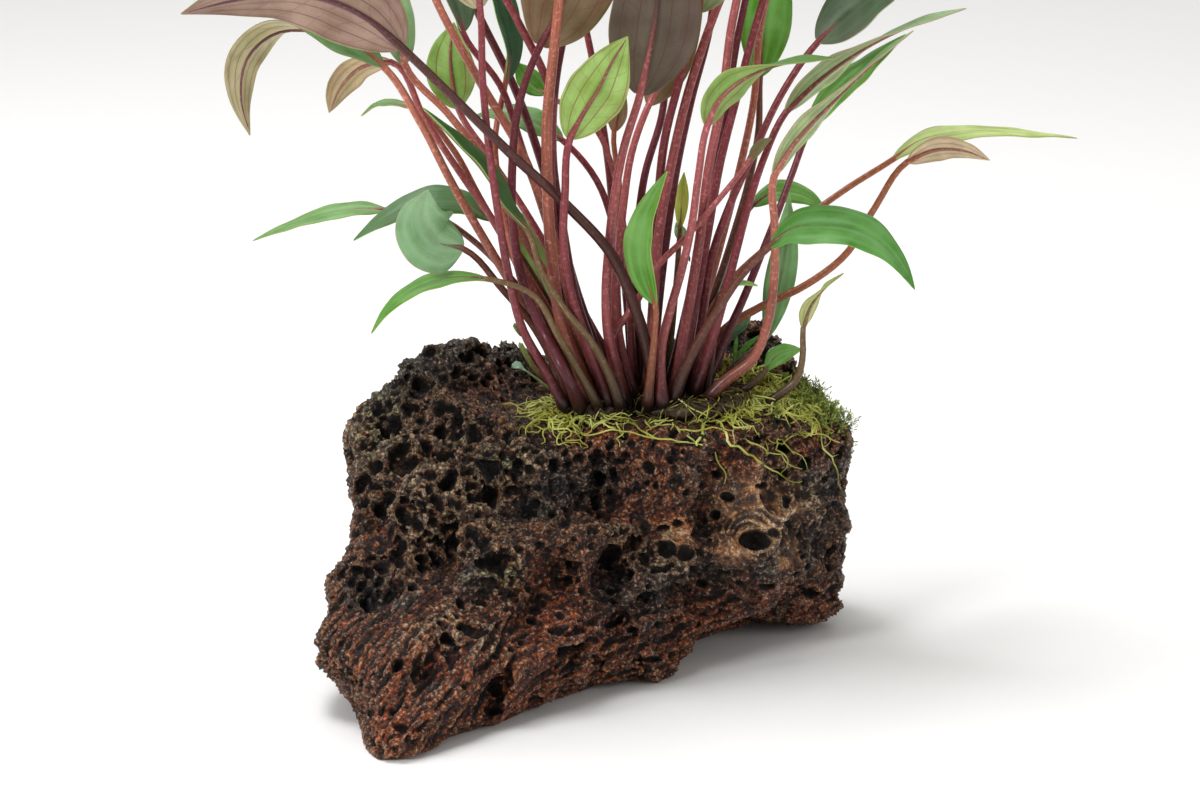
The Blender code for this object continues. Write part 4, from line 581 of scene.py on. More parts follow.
# %% Rock material: tones and masks
STONE_RAMPS = {
    "brown": (mottle, [(0.4, "#130704"), (0.48, "#48200f"), (0.55, "#864c2a"), (0.64, "#e0a67c")]),
    "rust": (mottle, [(0.4, "#2a0a04"), (0.48, "#74290e"), (0.55, "#b04f20"), (0.64, "#f0a678")]),
    "ash": (mottle, [(0.42, "#060708"), (0.5, "#15181c"), (0.57, "#353b42"), (0.65, "#a4aab0")]),
    "amber": (medium, [(0.36, "#1e0e05"), (0.47, "#4c2a12"), (0.57, "#7c4f28"), (0.68, "#c89c6c")]),
    "mineral": (fine, [(0.38, "#6b5138"), (0.52, "#b39a76"), (0.64, "#e6dabf")]),
    "lichen": (fine, [(0.38, "#4f5236"), (0.52, "#989a6c"), (0.64, "#d4d6ae")]),
    "slate clots": (medium, [(0.36, 0.25), (0.52, 1.0)]),
    # the ridge mask: where the crest tone lightens the stone, partly as worn crust and partly as painted
    # highlight
    "ridges": (deep, [(0.22, 1.0), (0.5, 0.0)]),
    "worn grit": (fine, [(0.4, 0.1), (0.56, 1.0)]),
    # painted shade: the next three ramps darken the bubbles, the valleys between grains and the hollows
    "bubble shade": (bubbles, [(0.14, 0.08), (0.32, 1.0)]),
    "grain shade": (cells, [(0.3, 1.0), (0.6, 0.22)]),
    "hollow shade": (deep, [(0.4, 1.0), (0.56, 0.26), (0.74, 0.02)]),
    "glints": (glint, [(0.57, 0.0), (0.66, 0.75)]),
    "glint grit": (fine, [(0.44, 0.1), (0.56, 1.0)]),
    "gloss": (fine, [(0.38, 0.45), (0.62, 0.8)]),
}
ramps = {name: add(tree, "ValToRGB", {0: pattern}, stops=stops)
         for name, (pattern, stops) in STONE_RAMPS.items()}
print("stone ramps:", len(ramps))

# %% [markdown]
# The layers go on one over the other: rust, slate-grey ash, the amber skin, then dried minerals on the
# ridges, which also serve as painted highlight. Painted shade darkens them in bubbles, grain valleys and
# hollows, and painted glints are laid on last.

# %% Rock material: layers, gloss and bump
rust_base = add(tree, "Math", {0: rusty, 1: 0.35}, operation="MULTIPLY")
rust_share = add(tree, "Math", {0: rusty, 1: broad, 2: rust_base}, operation="MULTIPLY_ADD")
ash_share = add(tree, "Math", {0: slaty, 1: ramps["slate clots"]}, operation="MULTIPLY")
amber_share = add(tree, "Math", {0: glass, 1: 0.85}, operation="MULTIPLY")
# ridges take the pale crest tone, partly as worn dried crust and partly as painted highlight
wear_and_highlight = add(tree, "Math", {0: ramps["ridges"], 1: ramps["worn grit"]}, operation="MULTIPLY")
dried = add(tree, "Math", {0: pallid, 1: 0.9, 2: 0.25}, operation="MULTIPLY_ADD")
wear_and_highlight = add(tree, "Math", {0: wear_and_highlight, 1: dried}, operation="MULTIPLY")
crest = add(tree, "Mix", {0: filmed, 6: ramps["mineral"], 7: ramps["lichen"]}, 2, data_type="RGBA")
tone = ramps["brown"]
for share, layer in ((rust_share, ramps["rust"]), (ash_share, ramps["ash"]), (amber_share, ramps["amber"]),
                     (wear_and_highlight, crest)):
    tone = add(tree, "Mix", {0: share, 6: tone, 7: layer}, 2, data_type="RGBA")
rough_share = add(tree, "Math", {0: glass, 1: -0.8, 2: 0.85}, operation="MULTIPLY_ADD")
# painted shade: the tone is darkened in the bubbles, in the valleys between grains and in the hollows
for share, dark in ((rough_share, "bubble shade"), (rough_share, "grain shade"), (1.0, "hollow shade")):
    tone = add(tree, "Mix", {0: share, 6: tone, 7: ramps[dark]}, 2, data_type="RGBA", blend_type="MULTIPLY")
tone = add(tree, "HueSaturation", {"Color": tone, "Value": 1.75, "Saturation": 1.08})
# painted glints: pale specks on raised grit, kept out of the hollows, stand in for the stone's small wet
# highlights
painted_glints = ramps["glints"]
for mask in ("hollow shade", "glint grit"):
    painted_glints = add(tree, "Math", {0: painted_glints, 1: ramps[mask]}, operation="MULTIPLY")
tone = add(tree, "Mix", {0: painted_glints, 6: tone, 7: linear("#e6d3ba")}, 2, data_type="RGBA")
height = add(tree, "Math", {0: fine, 1: 0.7}, operation="MULTIPLY")
for pattern, weight in ((mottle, 1.6), (cells, -0.55), (ramps["bubble shade"], 0.5)):
    height = add(tree, "Math", {0: pattern, 1: weight, 2: height}, operation="MULTIPLY_ADD")
strength = add(tree, "Math", {0: glass, 1: -0.6, 2: 1.0}, operation="MULTIPLY_ADD")
bump = add(tree, "Bump", {"Height": height, "Strength": strength, "Distance": 1.6 * MM})
feed(shader, Base_Color=tone, Roughness=ramps["gloss"], Normal=bump, Coat_Normal=bump)
rock.data.materials.append(scoria)
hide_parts("lava_rock")
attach(rock, "root")
print("rock dressed with", len(tree.nodes), "nodes")

# %% [markdown]
# ## Leaves
# A leaf is one stalk that runs on as the midrib under a thin blade. Each leaf has a solid with the right
# bends, so its sections are read back from that solid, ring by ring from the foot, and smooth curves are
# laid through them. The stalk is a sheet rolled into a tube and the blade is a flat grid, both bent onto
# those curves in code, because the bend operator needs a window and a leaf twists in three directions at
# once.

# %% Reading a leaf's sections


def rings_of(name):
    """The rings of corners of a leaf's solid, from its foot to its tip, each as bmesh vertices."""
    mesh = bmesh.new()
    mesh.from_mesh(nodes[name].data)
    bmesh.ops.remove_doubles(mesh, verts=mesh.verts, dist=WELD * MM)
    levels = [round(v.co.z / MM, 2) for v in mesh.verts]
    foot = max(set(levels), key=levels.count)               # the foot's five corners are cut level
    ring = [v for v, z in zip(mesh.verts, levels) if z == foot]
    seen, rings = set(ring), [ring]
    while ring:
        ring = list({e.other_vert(v) for v in ring for e in v.link_edges} - seen)
        seen.update(ring)
        if ring:
            rings.append(ring)
    return mesh, rings


def read_leaf(name):
    """Rows of centre, upper side, half width, fold and radius along a leaf, and where its blade starts."""
    mesh, rings = rings_of(name)
    rows, neck = [], None
    for i, ring in enumerate(rings):
        spots = np.array([v.co[:] for v in ring]) / MM
        centre = spots.mean(0)
        far = np.linalg.norm(spots - centre, axis=1)
        if len(ring) == 5 and far.max() < far.min() * 1.12:     # a round section of the stalk
            rows.append([*centre, 0, 0, 0, 0, 0, far.mean()])
            neck = i
            continue
        if len(ring) != 5:                                       # the tip
            rows.append([*centre, *rows[-1][3:6], 0, rows[-1][7], 0])
            continue
        pairs = [(np.linalg.norm(spots[a] - spots[b]), a, b) for a in range(5) for b in range(a)]
        _, a, b = max(pairs)
        linked = {frozenset((ring.index(e.verts[0]), ring.index(e.verts[1])))
                  for v in ring for e in v.link_edges if e.verts[0] in ring and e.verts[1] in ring}
        top = next(k for k in range(5) if frozenset((k, a)) in linked and frozenset((k, b)) in linked)
        low = [k for k in range(5) if k not in (a, b, top)]
        rib = spots[top] - spots[low].mean(0)
        up, thick = unit_vector(rib), np.linalg.norm(rib) / 1.6
        middle = spots[top] - up * 0.6 * thick
        half = np.linalg.norm(spots[[a, b]] - middle, axis=1).mean()
        fold = math.asin(np.clip(((spots[[a, b]] - middle) @ up).mean() / half, -1, 1))
        rows.append([*middle, *up, half, fold, thick])
    mesh.free()
    rows = np.array(rows)
    rows[neck, 3:6] = rows[neck + 1, 3:6]
    rows[neck, 7] = rows[neck + 1, 7]
    return rows, neck


def width_share(t, widest, neck_share=0.14):
    """Share of the half width at place t along a blade: round base, pointed tip."""
    rise, fall = np.clip(t / widest, 0, 1), np.clip((1 - t) / (1 - widest), 0, 1)
    base = neck_share + (1 - neck_share) * np.sin(rise * math.pi / 2) ** 0.72
    return np.where(t < widest, base, np.sin(fall * math.pi / 2) ** 0.95)


def fit_outline(t, half):
    """The greatest half width and its place along the blade that best meet the solid's sections."""
    best = (1e9, 0, 0)
    for widest in np.linspace(0.2, 0.7, 51):
        share = width_share(t, widest)
        most = (share @ half) / (share @ share)
        best = min(best, (((most * share - half) ** 2).sum(), most, widest))
    return best[1:]


def along_curve(rows, times, wanted):
    """Smooth values between rows: cubic pieces with matching slopes."""
    slope = np.gradient(rows, times, axis=0)
    i = np.clip(np.searchsorted(times, wanted, side="right") - 1, 0, len(times) - 2)
    span = (times[i + 1] - times[i])[:, None]
    t = (wanted - times[i])[:, None] / span
    return ((2 * t ** 3 - 3 * t ** 2 + 1) * rows[i] + (t ** 3 - 2 * t ** 2 + t) * span * slope[i]
            + (3 * t ** 2 - 2 * t ** 3) * rows[i + 1] + (t ** 3 - t ** 2) * span * slope[i + 1])


rows, neck = read_leaf("leaf_left_big")
print("leaf_left_big:", len(rows), "sections, half width", round(rows[:, 6].max(), 1), "mm")

# %% [markdown]
# ### Leaf colours
# Blades of this plant are green above, but the underside goes from fresh green in young leaves to rosy
# brown in old ones, with red-brown veins. Stalks are maroon, salmon or olive. Each leaf names one blade
# palette and one stalk palette, and its colours ride on the mesh as attributes, so one set of materials
# serves them all.

# %% Palettes
VEINS = {"rosy": 6, "droop": 5, "tan": 4, "umber": 5, "dusk": 5, "frosty": 5, "fresh": 3}   # on each half
BLADES = {      # upper side, underside, veins of the underside, margin
    "fresh": ("#558a34", "#8cb250", "#8a5242", "#94a050"),
    "spring": ("#639a34", "#94ba4c", "#8a5240", "#a4b060"),
    "lawn": ("#4f902e", "#7cae6c", "#5a9450", "#84ac58"),
    "bright": ("#5c9c2a", "#8ab83c", "#7f6a3c", "#a0b860"),
    "frosty": ("#80a06c", "#a2b87a", "#96605a", "#b4947c"),
    "droop": ("#64904e", "#bcac84", "#74464a", "#9c8a60"),
    "rosy": ("#7f8f46", "#9c7866", "#67404a", "#8d9b4e"),
    "tan": ("#84a066", "#d0b694", "#9a6a58", "#b49c68"),
    "deep": ("#35682c", "#74994c", "#7f6a4c", "#94bf5a"),
    "blue": ("#3e6648", "#7ea068", "#5a6a50", "#8ac058"),
    "umber": ("#6e6a3a", "#927250", "#8f5450", "#98845a"),
    "dusk": ("#515a36", "#625042", "#5a3c38", "#7a6a48"),
    "olive": ("#738a34", "#8a9446", "#74683c", "#9aa450"),
    "pale": ("#7fa876", "#8cac76", "#8fa888", "#b4a184"),
    # young: the blade's own yellow-green, made paler and brighter still as painted light for the backlight
    # shining through it
    "young": ("#d6ea52", "#dcee62", "#b4c44c", "#dce680"),
    "slate": ("#557054", "#80905e", "#8a6a5c", "#c2c8a8"),
    "grey": ("#7cac6c", "#90b474", "#5c7a50", "#9cb078"),
    "lemon": ("#a8bc5e", "#bac478", "#94744c", "#aca45c"),
}
STALKS = {      # near the foot, at the neck
    "maroon": ("#682328", "#8d363e"),
    "wine": ("#501a21", "#752b36"),
    "salmon": ("#843f30", "#ba6a54"),
    "rose": ("#7e3436", "#ac5656"),
    "brown": ("#4a2a1c", "#6c3a2c"),
    "umber": ("#38180f", "#522722"),
    "olive": ("#5c4626", "#7c6240"),
    "amber": ("#7c4426", "#9f5936"),
}
LOOKS = {
    "left_droop": "droop salmon", "left_big": "rosy umber", "left_pink": "tan rose",
    "left_narrow": "fresh salmon",
    "left_hanging": "pale salmon", "left_twisted": "deep olive", "left_rolled": "blue salmon",
    "left_olive": "olive brown", "left_folded": "slate maroon", "brown_upper": "umber wine",
    "back_green": "fresh rose", "curled_small": "bright rose", "back_level": "fresh maroon",
    "front_green": "spring maroon", "brown_centre": "dusk rose", "olive_centre": "umber rose",
    "back_tall_green": "bright brown", "front_right": "fresh rose", "right_upper": "frosty maroon",
    "right_hooked": "frosty salmon", "right_band": "bright wine", "right_drooping": "lawn brown",
    "right_dark": "slate maroon", "right_grey": "grey olive", "right_edge": "lemon olive",
    "right_far": "lemon amber", "right_far_low": "tan amber", "back_low_green": "bright brown",
    "centre_folded": "bright amber", "crossing": "umber rose", "red_small": "umber amber",
    "low_left_far": "fresh brown", "low_left_mid": "deep brown", "low_left_pale": "pale brown",
    "low_left_arched": "bright olive", "young_yellow": "young olive", "young_bright": "bright brown",
    "round_small": "bright olive",
}
TALL_BLADES = ["fresh", "droop", "slate", "rosy", "frosty", "deep"]
TALL_STALKS = ["maroon", "wine", "rose", "maroon", "wine", "salmon"]
leaf_names = sorted(n for n in nodes if n.startswith("leaf_"))
for k, name in enumerate(n for n in leaf_names if n[5:] not in LOOKS):
    LOOKS[name[5:]] = TALL_BLADES[k % 6] + " " + TALL_STALKS[(k * 5 + 1) % 6]
print("leaves:", len(leaf_names))

# %% [markdown]
# ### Leaf materials
# A wet leaf is soft tissue under a smooth waxy skin: moderate gloss, and light bleeds through it a little.
# Modelled veins would cost thousands of faces on each blade, so they are drawn. The blade's own map gives
# the place across and along it, which carries the long veins that run from base to tip and the finer rungs
# between them. Both sides share one recipe, and the underside shows its veins more.

# %% Leaf skin
LEAF_CLOUDS, LEAF_PATCHES, LEAF_SPECKS = 140, 55, 900    # per metre: 7 mm clouds, 18 mm blushes, 1.1 mm cells
VEIN_COUNT = 20.8       # turns a leaf's tenths into vein spacings over half a blade
RUNG_COUNT, RUNG_SWEEP = 15.0, -5.0     # rungs along a blade, and how far they lean towards the tip


def blade_material(name, tissue, veined, stripe, blushed):
    """tissue: the attribute with its colour; then how strongly the veins, the bands and the blush show."""
    material, tree, shader = new_material(
        name, Roughness=0.42, IOR=1.42, Coat_Weight=0.12, Coat_Roughness=0.3,
        Subsurface_Weight=0.28, Subsurface_Radius=(0.6, 1.0, 0.25), Subsurface_Scale=1.2 * MM)
    across, along = add(tree, "SeparateXYZ", {0: add(tree, "UVMap", uv_map="UVMap")}).node.outputs[:2]
    where = add(tree, "TexCoord", out="Object")
    body = add(tree, "Attribute", attribute_name=tissue)
    vein = add(tree, "Attribute", attribute_name="leaf_vein")
    off = add(tree, "Math", {0: across, 1: -0.5}, operation="ADD")
    off = add(tree, "Math", {0: off}, operation="ABSOLUTE")             # 0 at the rib, 0.5 at the margin
    cloud, patches, speck = (
        add(tree, "TexNoise", {"Vector": where, "Scale": scale, "Detail": detail, "Roughness": rough})
        for scale, detail, rough in ((LEAF_CLOUDS, 4, 0.5), (LEAF_PATCHES, 5, 0.65), (LEAF_SPECKS, 3, 0.5)))
    lighter = add(tree, "HueSaturation", {"Color": body, "Value": 1.35, "Saturation": 0.8})
    darker = add(tree, "HueSaturation", {"Color": body, "Value": 0.72, "Saturation": 1.05})
    clouded = add(tree, "ValToRGB", {0: cloud}, stops=[(0.35, 0.0), (0.68, 1.0)])
    # a blush of the veins' colour towards the margin and the base, in patches
    to_margin = add(tree, "ValToRGB", {0: off}, stops=[(0.25, 0.25), (0.5, 1.0)])
    to_base = add(tree, "ValToRGB", {0: along}, stops=[(0.0, 1.0), (0.25, 0.0)])
    patchy = add(tree, "ValToRGB", {0: patches}, stops=[(0.42, 0.0), (0.66, blushed)])
    edge = add(tree, "Math", {0: to_margin, 1: to_base}, operation="MAXIMUM")
    blush = add(tree, "Math", {0: edge, 1: patchy}, operation="MULTIPLY")
    # long veins: their number on a half comes with the leaf, in tenths, and off runs to a half
    number = add(tree, "Math", {0: vein.node.outputs["Alpha"], 1: VEIN_COUNT}, operation="MULTIPLY")
    waver = add(tree, "Math", {0: cloud, 1: 0.4}, operation="MULTIPLY")
    wave = add(tree, "Math", {0: off, 1: number, 2: waver}, operation="MULTIPLY_ADD")
    wave = add(tree, "Math", {0: wave, 1: 1.0}, operation="PINGPONG")
    long_veins = add(tree, "ValToRGB", {0: wave}, stops=[(0.02, 1.0), (0.16, 0.0)])
    bands = add(tree, "ValToRGB", {0: wave}, stops=[(0.45, 0.0), (1.0, stripe)])
    # rungs: they leave the rib and sweep towards the tip
    sweep = add(tree, "Math", {0: off, 1: RUNG_SWEEP}, operation="MULTIPLY")
    rung = add(tree, "Math", {0: along, 1: RUNG_COUNT, 2: sweep}, operation="MULTIPLY_ADD")
    rung = add(tree, "Math", {0: cloud, 1: 1.6, 2: rung}, operation="MULTIPLY_ADD")
    rung = add(tree, "Math", {0: rung, 1: 1.0}, operation="PINGPONG")
    rungs = add(tree, "ValToRGB", {0: rung}, stops=[(0.0, 0.5), (0.09, 0.0)])
    ribs = add(tree, "Math", {0: long_veins, 1: rungs}, operation="MAXIMUM")
    shown = add(tree, "Math", {0: ribs, 1: veined}, operation="MULTIPLY")
    tone = darker
    for share, layer in ((clouded, lighter), (0.25, body), (blush, vein), (bands, lighter), (shown, vein)):
        tone = add(tree, "Mix", {0: share, 6: tone, 7: layer}, 2, data_type="RGBA")
    gloss = add(tree, "ValToRGB", {0: cloud}, stops=[(0.3, 0.36), (0.7, 0.52)])
    height = add(tree, "Math", {0: ribs, 1: -0.6, 2: speck}, operation="MULTIPLY_ADD")
    bump = add(tree, "Bump", {"Height": height, "Strength": 0.35, "Distance": 0.3 * MM})
    feed(shader, Base_Color=tone, Roughness=gloss, Normal=bump)
    return material


upper_skin = blade_material("waxy leaf, upper skin", "leaf_upper", 0.16, 0.5, 0.3)
under_skin = blade_material("matt leaf, underside with veins", "leaf_under", 0.75, 0.3, 0.5)

# The margin is a thin dry seam that ends the blade with a pale line.
margin, tree, shader = new_material("dry leaf margin", Roughness=0.55)
feed(shader, Base_Color=add(tree, "Attribute", attribute_name="leaf_margin"))
print("leaf skin has", len(upper_skin.node_tree.nodes), "nodes")

# %% [markdown]
# A stalk is a bundle of fibres in a wet skin. Dark and light streaks run along it, and paler flecks show
# through the gloss. The streaks follow the stalk's own map, so they bend with it.

# %% Stalk skin
STREAKS = (14, 9, 1)    # round and along a stalk: streaks of 0.6 mm that are about a centimetre long
STALK_FLECKS = 1100     # per metre: flecks of 0.9 mm
stalk_skin, tree, shader = new_material("wet fibrous stalk", Roughness=0.42, IOR=1.36, Coat_Weight=0.2,
                                        Coat_Roughness=0.16)
body = add(tree, "Attribute", attribute_name="leaf_stalk")
streak_map = add(tree, "Mapping", {"Vector": add(tree, "UVMap", uv_map="UVMap"), "Scale": STREAKS})
streaks = add(tree, "TexNoise", {"Vector": streak_map, "Scale": 1.0, "Detail": 4, "Distortion": 0.4})
where = add(tree, "TexCoord", out="Object")
flecks = add(tree, "TexNoise", {"Vector": where, "Scale": STALK_FLECKS, "Detail": 3, "Roughness": 0.6})
dark, light, fleck_tone = (add(tree, "HueSaturation", {"Color": body, "Value": value, "Saturation": rich})
                           for value, rich in ((0.6, 1.0), (1.35, 0.95), (2.1, 0.8)))
streaked = add(tree, "ValToRGB", {0: streaks}, stops=[(0.35, 0.0), (0.65, 1.0)])
flecked = add(tree, "ValToRGB", {0: flecks}, stops=[(0.53, 0.0), (0.68, 0.6)])
tone = dark
for share, layer in ((streaked, light), (0.4, body), (flecked, fleck_tone)):
    tone = add(tree, "Mix", {0: share, 6: tone, 7: layer}, 2, data_type="RGBA")
bump = add(tree, "Bump", {"Height": streaks, "Strength": 0.3, "Distance": 0.4 * MM})
feed(shader, Base_Color=tone, Normal=bump)
print("stalk skin has", len(tree.nodes), "nodes")

# %% [markdown]
# ### Modelling a leaf
# Stalks and blades both start as a flat grid, which brings a map of its own. Bending it by hand would take
# one turn for each ring, so its rows are laid onto the leaf's curve in code: rolled up for a stalk, and
# spread out for a blade.

# %% Sheets and tubes
TUBE_SIDES = 10
SEAM = 0.03             # mm: vertices of a rolled sheet that are closer than this are merged


def sheet_grid(across, along):
    """A flat grid, with the place of each vertex across it, from -1 to 1, and its row."""
    bpy.ops.object.select_all(action="DESELECT")
    bpy.ops.mesh.primitive_grid_add(x_subdivisions=across, y_subdivisions=along, size=2)
    sheet = bpy.context.active_object
    flat = rows_of(sheet.data.vertices, "co")
    return sheet, flat[:, 0], np.round((flat[:, 1] + 1) / 2 * along).astype(int)


def run_along(points):
    """How far along a line each of its points lies."""
    return np.concatenate([[0], np.cumsum(np.linalg.norm(np.diff(points, axis=0), axis=1))])


def tangents(line):
    tangent = np.gradient(line, axis=0)
    return tangent / np.linalg.norm(tangent, axis=1, keepdims=True)


def cross_frames(tangent, upper):
    """The directions to the side and up at each place on a line, square to it."""
    up = upper - tangent * (upper * tangent).sum(1, keepdims=True)
    up /= np.maximum(np.linalg.norm(up, axis=1, keepdims=True), 1e-6)
    return np.cross(tangent, up), up


def rolled_tube(line, tangent, upper, wide, thick, tones, valley=0.0):
    """A sheet rolled into a closed tube with oval sections, whose sides may rise into a shallow valley."""
    tube, place, ring = sheet_grid(TUBE_SIDES, len(line) - 1)
    turn = (place + 1) * math.pi
    side, up = (rows[ring] for rows in cross_frames(tangent, upper))
    across = np.cos(turn) * wide[ring]
    rise = np.sin(turn) * thick[ring] + np.cos(turn) ** 2 * wide[ring] * valley
    put_points(tube, line[ring] + side * across[:, None] + up * rise[:, None])
    paint(tube.data, "leaf_stalk", tones[ring])
    merge_doubles(tube, SEAM, turn_out=True)
    tube.data.materials.append(stalk_skin)
    return tube


print("run along three points:", run_along(np.array([[0, 0, 0], [3, 4, 0], [3, 4, 5.0]])))

# %% [markdown]
# The stalk runs on as the midrib, ever thinner, to the tip of the blade. Its foot is wider and sunk into the
# crown, and painted shade darkens it to brown-black there, fading out up the stalk.

# %% Stalk
STALK_STEP = 2.6        # mm between rings
RIB_RINGS = 22          # rings along the midrib
RIB_TIP = 0.12          # mm, radius of the midrib at the tip
SINK = 2.2              # mm that a stalk's foot goes down into the crown
# painted shade: the brown-black that each stalk's foot is darkened to, where it goes into the crown
FOOT_SHADE_TONE = "#1d0c0b"
FOOT_SHADE_REACH = 6.0         # mm over which the painted shade at the foot fades out
FOOT_FLARE = 0.28       # how much wider the sheath is at the foot
FLARE_FADE = 4.0        # mm over which that fades out


def grow_stalk(rows, neck, run, stalk_tones, vein_tone):
    """The stalk and midrib of a leaf, as one tube from its foot to its tip."""
    stalk_run, whole = run[neck], run[-1]
    at = np.concatenate([np.linspace(0, stalk_run, int(stalk_run / STALK_STEP) + 1)[:-1],
                         np.linspace(stalk_run, whole, RIB_RINGS)])
    line = along_curve(rows[:, :3], run, at)
    radius = np.interp(at, run[:neck + 1], rows[:neck + 1, 8])
    past = np.clip((at - stalk_run) / (whole - stalk_run), 0, 1)
    rib = rows[neck, 8] * (1 - past) ** 0.8 * (1 - 0.35 * np.clip(past * 6, 0, 1)) + RIB_TIP
    flare = 1 + FOOT_FLARE * np.exp(-at / FLARE_FADE)
    radius = np.where(at <= stalk_run, radius, np.minimum(radius, rib)) * flare
    upper = along_curve(rows[neck:, 3:6], run[neck:], np.clip(at, stalk_run, whole))
    # one more ring before the first, sunk into the crown
    line, tangent, radius, upper, past, at = (np.concatenate(pair) for pair in (
        ([line[0] - (0, 0, SINK)], line), (tangents(line)[:1], tangents(line)), ([radius[0] * 1.1], radius),
        (upper[:1], upper), ([0], past), ([0], at)))
    line = line - upper * (np.clip(past * 8, 0, 1) * radius * 0.55)[:, None]
    radius[[0, -1]] *= 0.02                                     # both ends close
    foot, top, shade_tone = (np.array(linear(c)) for c in (*stalk_tones, FOOT_SHADE_TONE))
    tone = foot + (top - foot) * (np.clip(at / stalk_run, 0, 1) ** 0.6)[:, None]
    tone = tone + (vein_tone - tone) * np.clip(past * 2.5, 0, 1)[:, None]
    # painted shade: the stalk darkens towards its foot, where it goes in among the crown
    shade = 0.8 * np.exp(-at / FOOT_SHADE_REACH) + 0.25 * np.exp(-at / (5 * FOOT_SHADE_REACH))
    tone = tone + (shade_tone - tone) * np.clip(shade, 0, 1)[:, None]
    return rolled_tube(line, tangent, upper, radius, radius, tone)


print("stalk rings every", STALK_STEP, "mm")

# %% [markdown]
# The blade's section is a shallow V whose halves arch and whose margin ripples. A solidify modifier gives
# the sheet its thickness, and puts the underside and the margin in their own material slots. One level of
# subdivision rounds it off.

# %% Blade
BLADE_CELLS = (12, 22)  # across and along, before the subdivision
BLADE_THICK = 0.34      # mm
LONG_RIPPLE, SHORT_RIPPLE = (0.045, 17, 2.1), (0.03, 29, 1.3)    # height, waves, shift of one side


def grow_blade(rows, neck, run, palette, veins, seed):
    """The blade of a leaf: a sheet that is folded, arched and rippled along the leaf's curve."""
    stalk_run, whole = run[neck], run[-1]
    cells_across, cells_along = BLADE_CELLS
    t = np.linspace(0, 1, cells_along + 1)
    t = 0.5 * t + 0.5 * t ** 1.25
    at = stalk_run + t * (whole - stalk_run)
    values = along_curve(rows[neck:], run[neck:], at)
    most, widest = fit_outline((run[neck + 1:] - stalk_run) / (whole - stalk_run), rows[neck + 1:, 6])
    side, up = cross_frames(tangents(along_curve(rows[:, :3], run, at)), values[:, 3:6])
    blade, f, ring = sheet_grid(cells_across, cells_along)
    half = np.maximum(most * width_share(t, widest), 0.06)[ring]
    fold = values[ring, 7]
    valley = np.sqrt(f ** 2 + 0.012) - 0.11
    arch = -0.10 * np.abs(f) ** 2.2 + 0.05 * np.sin(np.abs(f) * math.pi)
    phase = np.random.default_rng(seed).random(4) * 2 * math.pi
    ripple = sum(high * np.sin(t[ring] * waves + start + (f > 0) * shift) * np.abs(f) ** 3
                 for (high, waves, shift), start in zip((LONG_RIPPLE, SHORT_RIPPLE), phase))
    rise = (valley * np.sin(fold) + (arch + ripple) * np.clip(half / 3, 0, 1)) * half
    across = f * np.cos(fold) * half
    put_points(blade, values[ring, :3] + side[ring] * across[:, None] + up[ring] * rise[:, None])
    for layer, colour in zip(("leaf_upper", "leaf_under", "leaf_vein", "leaf_margin"), palette):
        paint(blade.data, layer, np.tile((*linear(colour)[:3], veins / 10), (len(f), 1)))
    blade.data.polygons.foreach_set("material_index", [1] * len(blade.data.polygons))
    for skin in (stalk_skin, upper_skin, under_skin, margin):
        blade.data.materials.append(skin)
    apply_modifier(blade, "SOLIDIFY", thickness=BLADE_THICK * MM, offset=-0.2, material_offset=1,
                   material_offset_rim=2)
    apply_modifier(blade, "SUBSURF", levels=1, render_levels=1)
    return blade


print("blade cells:", BLADE_CELLS, "thickness", BLADE_THICK, "mm")

# %% [markdown]
# Each leaf takes the place of its solid. Its stalk and blade are joined into one object, since the real
# leaf is one piece, and the number of its seed sets how its margin ripples.

# %% Growing all leaves
PLAIN_VEINS = 4         # on each half, where the palette names no other number


def grow_leaf(name, seed):
    rows, neck = read_leaf(name)
    run = run_along(rows[:, :3])
    blade_name, stalk_name = LOOKS[name[5:]].split()
    palette = BLADES[blade_name]
    stalk = grow_stalk(rows, neck, run, STALKS[stalk_name], np.array(linear(palette[2])))
    blade = grow_blade(rows, neck, run, palette, VEINS.get(blade_name, PLAIN_VEINS), seed)
    only(blade)
    stalk.select_set(True)
    bpy.ops.object.join()
    leaf = bpy.context.active_object
    leaf.name = name + "_grown"
    bpy.ops.object.shade_smooth()
    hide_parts(name)
    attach(leaf, "root")
    return leaf


leaves = [grow_leaf(name, 100 + k) for k, name in enumerate(leaf_names)]
print("leaf triangles:", sum(triangles(leaf) for leaf in leaves))

# %% [markdown]
# ## Crowns
# The leaves stand on short rootstocks, brown stubs wrapped in old leaf bases and fibre. Little of them
# shows. Wound fibres would be hidden, so a voxel remesh of each solid and a lumpy relief do for what can be
# seen between the roots. Old rootstock is matt and fibrous, and its noise is drawn out upwards.

